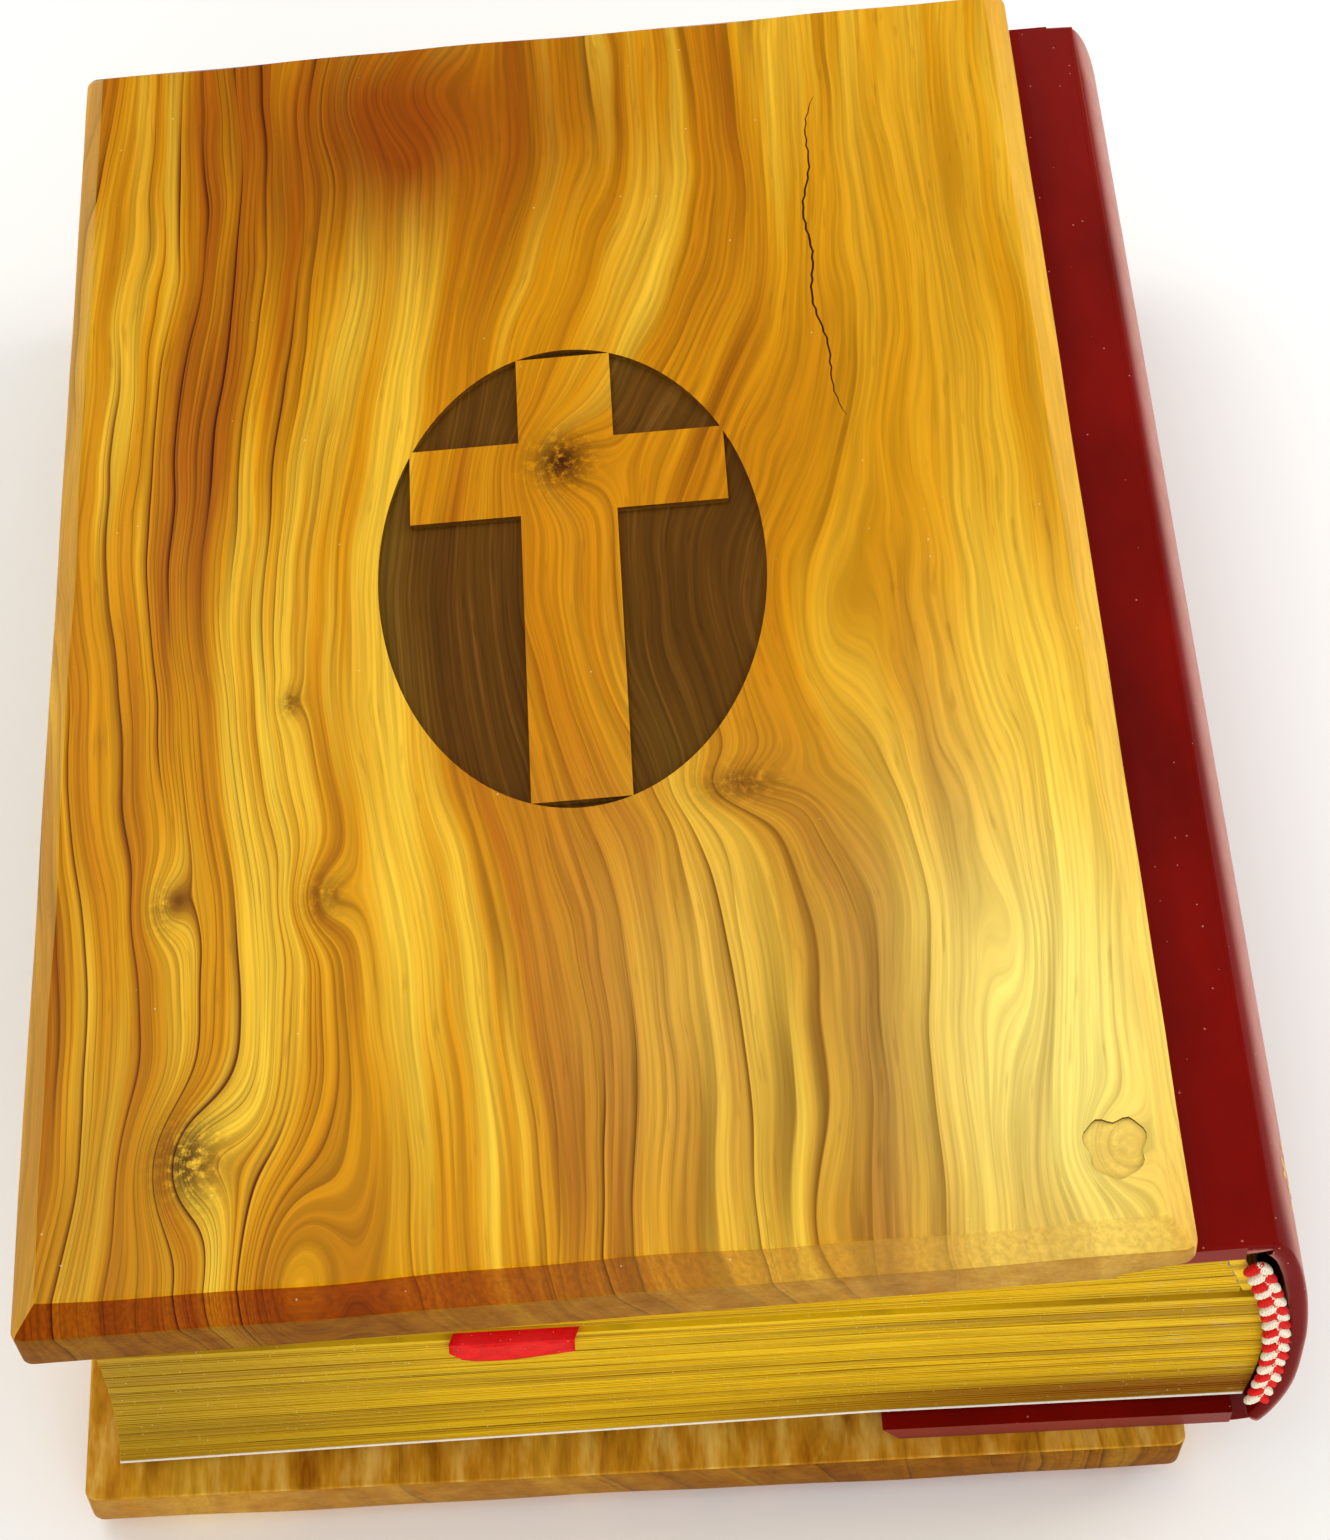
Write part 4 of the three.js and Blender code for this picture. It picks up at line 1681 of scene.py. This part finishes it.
@dataclass
class SpineShell(SubAssembly):
    """The hollow spine: leatherette turned in over its ends, on the curve between the joints."""

    frame: dict
    skin: float = 0.9
    hem: float = 1.0
    hem_length: float = 11.0
    end_round: float = 0.5
    across_steps: int = 56
    top_start: Point2 = (0.95, 0.0)
    top_pull: Point2 = (5.05, 0.1)
    bottom_pull: Point2 = (7.5, 7.1)
    bottom_end: Point2 = (1.6, -0.5)
    dented: float = 9.0
    arc: float = 26.0
    flower_pitch: float = 5.2
    petal_ring: float = 1.15
    petal: Point2 = (1.7, 1.0)
    leaf_offset: float = 3.1
    leaf_size: Point2 = (1.3, 1.0)

    def curve(self, share: float) -> tuple[Vector, Vector]:
        """The outer curve of the spine.

        Args:
            share: How far along it, from the front joint to the back joint.

        Returns:
            The place and the outward direction, both in the XZ plane.
        """
        front = joint_place(self.frame, "front_joint")
        back = joint_place(self.frame, "back_joint")
        handles = [Vector((front.x + self.top_start[0], front.z + self.top_start[1])),
                   Vector((front.x + self.top_pull[0], front.z + self.top_pull[1])),
                   Vector((back.x + self.bottom_pull[0], back.z + self.bottom_pull[1])),
                   Vector((back.x + self.bottom_end[0], back.z + self.bottom_end[1]))]
        rest = 1 - share
        place = (handles[0] * rest ** 3 + handles[1] * 3 * rest ** 2 * share
                 + handles[2] * 3 * rest * share ** 2 + handles[3] * share ** 3)
        first, second, third = (end - start for start, end in zip(handles, handles[1:]))
        along = (first * rest ** 2 + second * 2 * rest * share + third * share ** 2).normalized()
        return place, Vector((-along.y, along.x))

    def _ends(self) -> tuple[float, float, float]:
        """The tail and head ends of the spine at height 0, and its lean.

        Returns:
            The tail end, the head end and the lean.
        """
        wedge = Wedge.of(self.frame["nodes"]["section_10"])
        node = self.frame["nodes"]["spine_leather"]
        lows = [v.co.y / MM - wedge.lean * v.co.z / MM for v in node.data.vertices]
        return min(lows), max(lows), wedge.lean

    def _section(self, tail: float, head: float) -> list[Point2]:
        """The wall's outline from tail to head: depth inwards and place along Y.

        Args:
            tail: The tail end of the spine.
            head: Its head end.

        Returns:
            The outline's points.
        """
        soft = self.end_round
        outer = [(0.0, lerp(tail + soft, head - soft, step / 20)) for step in range(21)]
        deep = self.skin + self.hem
        head_turn = [(deep / 2 - deep / 2 * math.cos(a), head - soft + soft * math.sin(a))
                     for a in (math.pi * step / 8 for step in range(1, 8))]
        tail_turn = [(deep / 2 + deep / 2 * math.cos(a), tail + soft - soft * math.sin(a))
                     for a in (math.pi * step / 8 for step in range(1, 8))]
        inner = [(deep, head - soft), (deep, head - self.hem_length),
                 (self.skin, head - self.hem_length - 0.4),
                 (self.skin, tail + self.hem_length + 0.4), (deep, tail + self.hem_length),
                 (deep, tail + soft)]
        return outer + head_turn + inner + tail_turn

    def build(self) -> Piece:
        """Builds the spine.

        Returns:
            The spine.
        """
        tail, head, lean = self._ends()
        section = self._section(tail, head)
        points = []
        for step in range(self.across_steps + 1):
            share = step / self.across_steps
            place, out = self.curve(share)
            for depth, y in section:
                ease = smooth((tail + self.dented - y) / self.dented)
                dent = 0.12 * math.sin(9 * share + 0.6) + 0.1 * math.sin(23 * share + y)
                inward = depth + ease * max(0.0, dent) * 0.6
                ripple = ease * 0.35 * math.sin(5.5 * share - 0.5)
                x, z = place.x - out.x * inward, place.y - out.y * inward
                points.append((x, y + lean * z + ripple * 0.5, z))
        faces = loops_to_faces(self.across_steps + 1, len(section))
        piece = build("spine_cover", points, faces)
        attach(piece, "book_block")
        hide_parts("spine_leather")
        return piece

    def ornament(self, from_tail: float = 10.5) -> Piece:
        """Blocks a row of three small plain flowers in gold on the spine.

        Args:
            from_tail: How far its middle is from the tail end.

        Returns:
            The flowers.
        """
        tail, _, lean = self._ends()
        points: list[Point3] = []
        faces: list[list[int]] = []

        def lay(u: float, v: float, lift: float) -> Point3:
            """Lays a flat place, u round the spine and v along it, onto the curve.

            Args:
                u: How far round the spine from its middle.
                v: How far along it.
                lift: How far off the surface.

            Returns:
                The place in the row frame.
            """
            place, out = self.curve(0.5 + u / self.arc)
            x, z = place.x + out.x * lift, place.y + out.y * lift
            return (x, tail + from_tail + v + lean * z, z)

        def leaf(middle_u: float, middle_v: float, turn: float, length: float,
                 width: float) -> None:
            """Adds one pointed petal as a thin raised plate.

            Args:
                middle_u: Its middle, round the spine.
                middle_v: Its middle, along the spine.
                turn: Which way it points.
                length: Its length.
                width: Its width.
            """
            count = 20
            first = len(points)
            for lift in (0.005, 0.045):
                for step in range(count):
                    angle = 2 * math.pi * step / count
                    along, side = math.cos(angle), math.sin(angle)
                    du = length / 2 * along
                    dv = width / 2 * side * (1 - 0.55 * abs(along))
                    points.append(lay(middle_u + du * math.cos(turn) - dv * math.sin(turn),
                                      middle_v + du * math.sin(turn) + dv * math.cos(turn), lift))
            faces.extend(loops_to_faces(2, count, first=first))

        for middle in (-self.flower_pitch, 0.0, self.flower_pitch):
            for petal in range(6):
                turn = math.pi / 3 * petal + math.pi / 6
                leaf(middle + self.petal_ring * math.cos(turn),
                     self.petal_ring * math.sin(turn), turn, *self.petal)
            for side in (-1, 1):
                leaf(middle, side * self.leaf_offset, math.pi / 2, *self.leaf_size)
        piece = build("spine_ornament", points, faces, even=False)
        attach(piece, "book_block")
        return piece


@dataclass
class JointSkin(SubAssembly):
    """The covering over the joint between a strip and the spine."""

    frame: dict
    node: str
    strip: str
    joint: str
    cover: str
    onto_strip: float
    onto_spine: float
    strip_skin: float
    spine_skin: float = 0.8
    lift: float = 0.06
    columns: int = 24
    end_gap: float = 0.02
    edge_round: float = 0.45
    edge_step: float = 0.13

    def build(self, top: bool, slope: float) -> Piece:
        """Builds the skin.

        Args:
            top: Whether it is the front joint, whose outside looks up.
            slope: The tilt of the cover's face, as rise over run.

        Returns:
            The skin.
        """
        hinge = joint_place(self.frame, self.joint)
        low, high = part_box(self.strip)
        tail, head = low.y / MM + self.end_gap, high.y / MM - self.end_gap
        strip_end, soft, part = high.x / MM, self.edge_round, self.edge_step
        level = (high.z if top else low.z) / MM
        side = 1 if top else -1
        first, last = hinge.x - self.onto_strip, hinge.x + self.onto_spine
        points = []
        for step in range(self.columns + 1):
            x = lerp(first, last, step / self.columns)
            feather = self.lift * smooth((x - first) / 3) - 0.04 * (1 - smooth((x - first) / 1.5))
            outer = level + slope * min(0.0, x - strip_end) + side * feather
            beyond = smooth((x - strip_end) / (last - strip_end))
            outer = lerp(outer, hinge.z, beyond)
            skin = lerp(self.strip_skin, self.spine_skin, beyond)
            profile = ((tail, skin), (tail, soft), (tail + part, part), (tail + soft, 0.0),
                       (head - soft, 0.0), (head - part, part), (head, soft), (head, skin))
            points += [(x, y, outer - side * depth) for y, depth in profile]
        piece = build(f"{self.node}_skin", points, loops_to_faces(self.columns + 1, 8))
        if top:
            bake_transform(piece)
        else:
            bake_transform(piece)
        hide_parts(self.node)
        return piece


@dataclass
class Headband(SubAssembly):
    """A two-coloured headband: slanting beads of red and cream thread over a cord."""

    frame: dict
    node: str
    rows: int = 9
    bead_length: float = 2.6
    bead_width: float = 1.25
    margin: float = 0.7
    inset: float = 0.3
    column_pitch: float = 0.95
    slant: float = 0.95
    sink: float = 0.75

    def _bead(self, place: Vector, along: Vector, side: Vector, out: Vector,
              points: list[Vector], faces: list[list[int]]) -> None:
        """Adds one bead: a fat twist of thread, ridged along its length.

        Args:
            place: Its middle.
            along: Its long direction.
            side: Across it.
            out: Away from the cord.
            points: Receives its vertices.
            faces: Receives its faces.
        """
        around, rings = 14, 9
        first = len(points)
        for ring in range(rings):
            turn = math.pi * (ring + 0.5) / rings
            reach = -math.cos(turn) * self.bead_length / 2
            width = math.sin(turn) ** 0.7 * self.bead_width / 2
            for step in range(around):
                angle = 2 * math.pi * step / around + 0.35 * ring
                ridge = 1 + 0.07 * math.cos(5 * angle)
                points.append(place + along * reach + side * (width * ridge * math.cos(angle))
                              + out * (0.85 * width * ridge * math.sin(angle)))
        faces.extend(loops_to_faces(rings, around, first=first))

    def build(self, colours: Sequence[Material], outward: float) -> None:
        """Builds the band's beads in two colours, and dresses them.

        Args:
            colours: Red and cream.
            outward: -1 at the tail and 1 at the head.
        """
        node = self.frame["nodes"][self.node]
        corners = corners_of(node)
        low, high = min(c.z for c in corners), max(c.z for c in corners)
        back = {round(c.z, 2): max(d.x for d in corners if abs(d.z - c.z) < 0.05) for c in corners}
        levels = sorted(back)

        def edge(z: float) -> float:
            """The band's outer X at a height.

            Args:
                z: The height.

            Returns:
                The band's outer X.
            """
            above = next((level for level in levels if level >= z), levels[-1])
            below = next((level for level in reversed(levels) if level <= z), levels[0])
            if above == below:
                return back[above]
            return lerp(back[below], back[above], (z - below) / (above - below))

        def end_y(z: float) -> float:
            """The band's outer Y at a height.

            Args:
                z: The height.

            Returns:
                The band's outer Y.
            """
            near = min(corners, key=lambda c: abs(c.z - z) - 0.5 * c.y * outward)
            return near.y

        pitch = (high - low) / self.rows
        for index, name in enumerate(("red", "cream")):
            points: list[Vector] = []
            faces: list[list[int]] = []
            for row in range(self.rows):
                for column in (0, 1):
                    shift = 0.25 if index == column else 0.75
                    z = low + pitch * (row + shift)
                    z = min(max(z, low + self.margin), high - self.margin)
                    x = edge(z) - self.inset - self.column_pitch * column
                    slant = -self.slant if column == 0 else self.slant
                    along = Vector((math.cos(slant), 0, math.sin(slant)))
                    out = Vector((0, outward, 0))
                    side = along.cross(out)
                    place = Vector((x, end_y(z) - outward * self.sink, z))
                    self._bead(place, along, side, out, points, faces)
            piece = build(f"{self.node}_{name}_thread", points, faces)
            self.dress(piece, colours[index])
            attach(piece, "book_block")
            if index == 0:
                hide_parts(self.node)


@dataclass
class Ribbon(SubAssembly):
    """The ribbon marker: laid between two gatherings, over the tail edge and down."""

    frame: dict
    thickness: float = 0.22
    width: float = 12.0
    shown: float = 0.62
    end_zone: float = 1.5
    hang_steps: int = 9
    steps: int = 60
    columns: int = 10

    def build(self) -> Piece:
        """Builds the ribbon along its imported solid.

        Returns:
            The ribbon.
        """
        node = self.frame["nodes"]["ribbon_marker"]
        corners = corners_of(node)
        tail = min(c.y for c in corners)
        head = max(c.y for c in corners)
        at_tail = [c for c in corners if c.y < tail + self.end_zone]
        at_head = [c for c in corners if c.y > head - self.end_zone]
        start_x = (min(c.x for c in at_tail) + max(c.x for c in at_tail)) / 2
        end_x = (min(c.x for c in at_head) + max(c.x for c in at_head)) / 2
        drop = min(c.z for c in at_tail)
        wedge = Wedge.of(self.frame["nodes"]["section_05"])
        lift = max(c.z for c in at_tail) - wedge.height(start_x, 1.0)
        path: list[Point3] = []
        hang = self.shown * (max(c.z for c in at_tail) - drop)
        for step in range(self.hang_steps):
            share = step / self.hang_steps
            path.append((0.0, tail + 0.15 * math.sin(3 * share), -hang * (1 - share)))
        for step in range(self.steps + 1):
            share = step / self.steps
            path.append((share, lerp(tail + 0.25, head, share), 0.0))
        rows = []
        for share, y, fall in path:
            centre = lerp(start_x, end_x, share)
            row = []
            for column in range(self.columns + 1):
                across = (column / self.columns - 0.5) * self.width
                x = centre + across
                base = wedge.height(min(x, wedge.fold[1][0]), 1.0) + lift
                curl = 0.35 * (across / self.width * 2) ** 2 if fall < 0 else 0.0
                edge = across / self.width * 2
                torn = 1 - 0.3 * smooth(edge) - 0.55 * smooth((-edge - 0.72) / 0.28)
                end = fall * (torn + 0.05 * math.sin(5.1 * edge)) if fall < 0 else 0.0
                flutter = 0.1 * math.sin(across * 0.9) if fall < 0 else 0.0
                row.append(Vector((x, y + 0.15 * curl + flutter, base + end)))
            rows.append(row)
        points: list[Vector] = []
        for row_index, row in enumerate(rows):
            before = rows[max(row_index - 1, 0)]
            after = rows[min(row_index + 1, len(rows) - 1)]
            ring = []
            for column, place in enumerate(row):
                along = (after[column] - before[column]).normalized()
                side = (row[min(column + 1, self.columns)] - row[max(column - 1, 0)]).normalized()
                ring.append((place, side.cross(along).normalized()))
            points += [place for place, _ in ring]
            points += [place - normal * self.thickness for place, normal in reversed(ring)]
        faces = loops_to_faces(len(rows), 2 * (self.columns + 1))
        piece = build("ribbon", points, faces)
        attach(piece, "book_block")
        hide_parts("ribbon_marker")
        return piece


# ------------ studio


@dataclass
class Studio:
    """A pale floor, soft lights and the camera."""

    target: Point3 = (2.96, -8.04, 20.0)
    elevation: float = 56.01
    azimuth: float = 2.595
    roll: float = -0.489
    distance: float = 363.7
    lens: float = 90.1
    sensor: float = 36.0

    def camera(self) -> None:
        """Sets the camera."""
        rise, turn = math.radians(self.elevation), math.radians(self.azimuth)
        forward = Vector((math.cos(rise) * math.sin(turn), math.cos(rise) * math.cos(turn),
                          -math.sin(rise)))
        level = forward.cross(Vector((0, 0, 1))).normalized()
        upright = level.cross(forward)
        tilt = math.radians(self.roll)
        right = level * math.cos(tilt) + upright * math.sin(tilt)
        up = upright * math.cos(tilt) - level * math.sin(tilt)
        data = bpy.data.cameras.new("camera")
        data.lens = self.lens
        data.sensor_width = self.sensor
        data.sensor_fit = "HORIZONTAL"
        data.clip_start = 0.01
        camera = bpy.data.objects.new("camera", data)
        turned = Matrix((right, up, -forward)).transposed().to_4x4()
        place = Vector(self.target) - forward * self.distance
        camera.matrix_world = Matrix.Translation(place * MM) @ turned
        bpy.context.scene.collection.objects.link(camera)
        bpy.context.scene.camera = camera

    @staticmethod
    def lamp(name: str, place: Sequence[float], aim: Sequence[float], size: Point2,
             power: float) -> None:
        """Adds a soft box light.

        Args:
            name: Its name.
            place: Where it stands, in millimetres.
            aim: What it points at.
            size: Its width and height.
            power: Its power in watts.
        """
        data = bpy.data.lights.new(name, "AREA")
        data.shape = "RECTANGLE"
        data.size, data.size_y = size[0] * MM, size[1] * MM
        data.energy = power
        light = bpy.data.objects.new(name, data)
        direction = Vector(aim) - Vector(place)
        light.rotation_euler = direction.to_track_quat("-Z", "Y").to_euler()
        light.location = Vector(place) * MM
        bpy.context.scene.collection.objects.link(light)

    def floor(self) -> None:
        """Lays the pale floor."""
        reach = 1500.0
        corners = [(-reach, -reach, 0), (reach, -reach, 0), (reach, reach, 0), (-reach, reach, 0)]
        material, steps, shader = new_material("pale_floor")
        cloud = steps.noise(steps.millimetres(), 0.004, 2.0)
        colour = steps.ramp(cloud, ((0.3, tone(252, 252, 250)), (0.7, tone(255, 255, 253))))
        steps.feed(shader.inputs["Base Color"], colour)
        shader.inputs["Roughness"].default_value = 0.9
        shader.inputs["Specular IOR Level"].default_value = 0.1
        floor = build("floor", corners, [[0, 1, 2, 3]], even=False)
        floor.data.materials.append(material)
        floor.location.z = -0.05 * MM

    def build(self) -> None:
        """Sets up the whole studio."""
        scene = bpy.context.scene
        scene.view_settings.view_transform = "Standard"
        world = bpy.data.worlds.new("studio")
        world.use_nodes = True
        sky = world.node_tree.nodes["Background"]
        sky.inputs["Color"].default_value = (1.0, 0.99, 0.97, 1.0)
        sky.inputs["Strength"].default_value = 0.66
        scene.world = world
        self.camera()
        self.floor()
        self.lamp("key", (-260, 240, 620), (0, 0, 20), (420, 420), 1.2)
        self.lamp("side", (560, 160, 330), (40, 0, 20), (240, 520), 1.7)
        self.lamp("front", (60, -620, 300), (0, -60, 20), (520, 260), 1.2)


# ------------ assembly


FRONT_WOOD = OliveWood(
    name="front_olive",
    knots=(
        Knot(-38.2, 16.1, 5.0, 7.0, 7.5, 0.9),
        Knot(-41.5, 44.5, 2.6, 4.5, 3.0, 0.5),
        Knot(-25.5, 44.2, 3.4, 4.6, 5.0, 0.5),
        Knot(-29.0, 68.2, 1.6, 2.6, 1.5, 0.7),
        Knot(16.5, 53.6, 6.5, 3.4, 3.5, 0.6),
        Knot(0.0, 97.0, 5.5, 6.0, 7.0, 1.0),
        Knot(48.5, 9.9, 3.6, 4.4, 4.0, 0.3),
        Knot(-17.6, 155.0, 8.0, 9.0, 6.0, 0.0),
        Knot(-29.0, 2.0, 5.5, 13.0, 10.0, 0.0),
        Knot(42.2, 31.0, 3.4, 15.0, -3.6, 0.0),
        Knot(2.0, 84.0, 21.0, 34.0, 8.0, 0.0),
        Knot(24.0, 70.0, 12.0, 30.0, 7.0, 0.0),
    ),
    stains=(
        Stain(-16.0, 150.0, 26.0, 22.0, tone(146, 68, 0), 0.95),
        Stain(44.0, 24.0, 15.0, 30.0, tone(255, 232, 122), 1.0),
        Stain(48.0, 62.0, 11.0, 22.0, tone(250, 206, 70), 0.7),
        Stain(10.0, 30.0, 13.0, 26.0, tone(224, 180, 76), 0.6),
        Stain(26.0, 24.0, 7.0, 22.0, tone(162, 124, 52), 0.4),
        Stain(-47.0, 10.0, 8.0, 20.0, tone(172, 116, 24), 0.5),
        Stain(40.0, 122.0, 16.0, 40.0, tone(206, 144, 18), 0.75),
        Stain(26.0, 92.0, 12.0, 26.0, tone(208, 140, 10), 0.55),
        Stain(1.0, 84.0, 17.0, 30.0, tone(198, 122, 8), 0.7),
    ),
    calms=(
        Calm(-2.0, 110.0, 26.0, 52.0, 0.68),
        Calm(44.0, 128.0, 17.0, 52.0, 0.66),
        Calm(-14.0, 66.0, 12.0, 22.0, 0.5),
    ),
)

BACK_WOOD = OliveWood(
    name="back_olive",
    knots=(
        Knot(-20.0, 6.0, 6.0, 8.0, 5.0, 0.6),
        Knot(24.0, 60.0, 7.0, 10.0, 7.0, 0.8),
        Knot(-8.0, 120.0, 9.0, 14.0, 8.0, 0.4),
    ),
    stains=(
        Stain(-30.0, 40.0, 16.0, 40.0, tone(176, 110, 14), 0.6),
        Stain(36.0, 100.0, 16.0, 40.0, tone(240, 200, 90), 0.7),
    ),
    seed=17.0,
    dense_from=-40.0,
)


@dataclass
class CasePieces(SubAssembly):
    """The case boards, their covering and the papers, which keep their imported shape."""

    frame: dict
    paper_tail: float = -78.2
    leather_round: float = 0.4
    board_round: float = 0.1
    paper_round: float = 0.05

    def build(self, leather: Material) -> None:
        """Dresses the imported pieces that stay, and rebuilds the back pastedown.

        Args:
            leather: The covering's material.
        """
        endpaper = Paper("endpaper", tone(244, 240, 226), tone(230, 224, 204)).material()
        grey = Paper("grey_board", tone(196, 172, 128), tone(150, 124, 82)).material()
        mull = Thread("mull", tone(226, 214, 186), tone(180, 164, 132), 1.2).material()
        finishes = (
            (leather, self.leather_round, ("front_cover_leather", "back_cover_leather")),
            (grey, self.board_round, ("front_strip_board", "back_strip_board", "spine_inlay")),
            (endpaper, self.paper_round, ("front_pastedown", "back_flyleaf")),
            (mull, self.paper_round, ("spine_lining",)),
        )
        for material, width, names in finishes:
            for name in names:
                node = self.frame["nodes"][name]
                node.data.materials.clear()
                self.dress(node, material)
                soften(node, width)
        self.dress(self._build_pastedown(), endpaper)

    def _build_pastedown(self) -> Piece:
        """Rebuilds the back pastedown so that it ends under the leaves at the tail.

        Returns:
            The pastedown.
        """
        mesh = self.frame["nodes"]["back_pastedown"].data.copy()
        mesh.materials.clear()
        for vertex in mesh.vertices:
            vertex.co.y = max(vertex.co.y, self.paper_tail * MM)
        piece = add_object("back_pastedown_paper", mesh)
        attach(piece, "back_cover")
        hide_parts("back_pastedown")
        return piece


def main() -> None:
    """Builds the book and its studio."""
    logging.basicConfig(level=logging.INFO, format="%(name)s: %(message)s")
    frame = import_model()
    Studio().build()
    nodes = frame["nodes"]
    front_seat = Seat.of(nodes["front_board"], 1)
    back_seat = Seat.of(nodes["back_board"], -1)
    EmblemBoard("front_board", "front_cover", FRONT_WOOD, "olive_wood").build(front_seat)
    WoodenBoard("back_board", "back_cover", BACK_WOOD, "olive_wood_back").build(back_seat)
    PageBlock(frame).build()
    leather = Leatherette().material()
    spine = SpineShell(frame)
    spine.dress(spine.build(), leather)
    spine.dress(spine.ornament(), GoldFoil().material())
    slope = front_seat.matrix.col[0].z / front_seat.matrix.col[0].x
    front_skin = JointSkin(frame, "front_joint_leather", "front_cover_leather", "front_joint",
                           "front_cover", onto_strip=6.0, onto_spine=1.6, strip_skin=1.4)
    front_skin.dress(front_skin.build(True, slope), leather)
    back_skin = JointSkin(frame, "back_joint_leather", "back_cover_leather", "back_joint",
                          "back_cover", onto_strip=4.0, onto_spine=1.2, strip_skin=0.8)
    back_skin.dress(back_skin.build(False, 0.0), leather)
    red = Thread("red_cotton", tone(226, 20, 12), tone(158, 4, 2), 4.0, sheen=0.05).material()
    cream = Thread("cream_cotton", tone(246, 236, 212), tone(206, 184, 146), 4.0,
                   sheen=0.1).material()
    Headband(frame, "headband_tail").build((red, cream), -1)
    Headband(frame, "headband_head").build((red, cream), 1)
    satin = Thread("red_satin", tone(232, 4, 3), tone(176, 0, 0), threads_per_mm=5.0,
                   roughness=0.45, sheen=0.0, sparkle=0.5)
    ribbon = Ribbon(frame)
    ribbon.dress(ribbon.build(), satin.material())
    CasePieces(frame).build(leather)


if __name__ == "__main__":
    main()
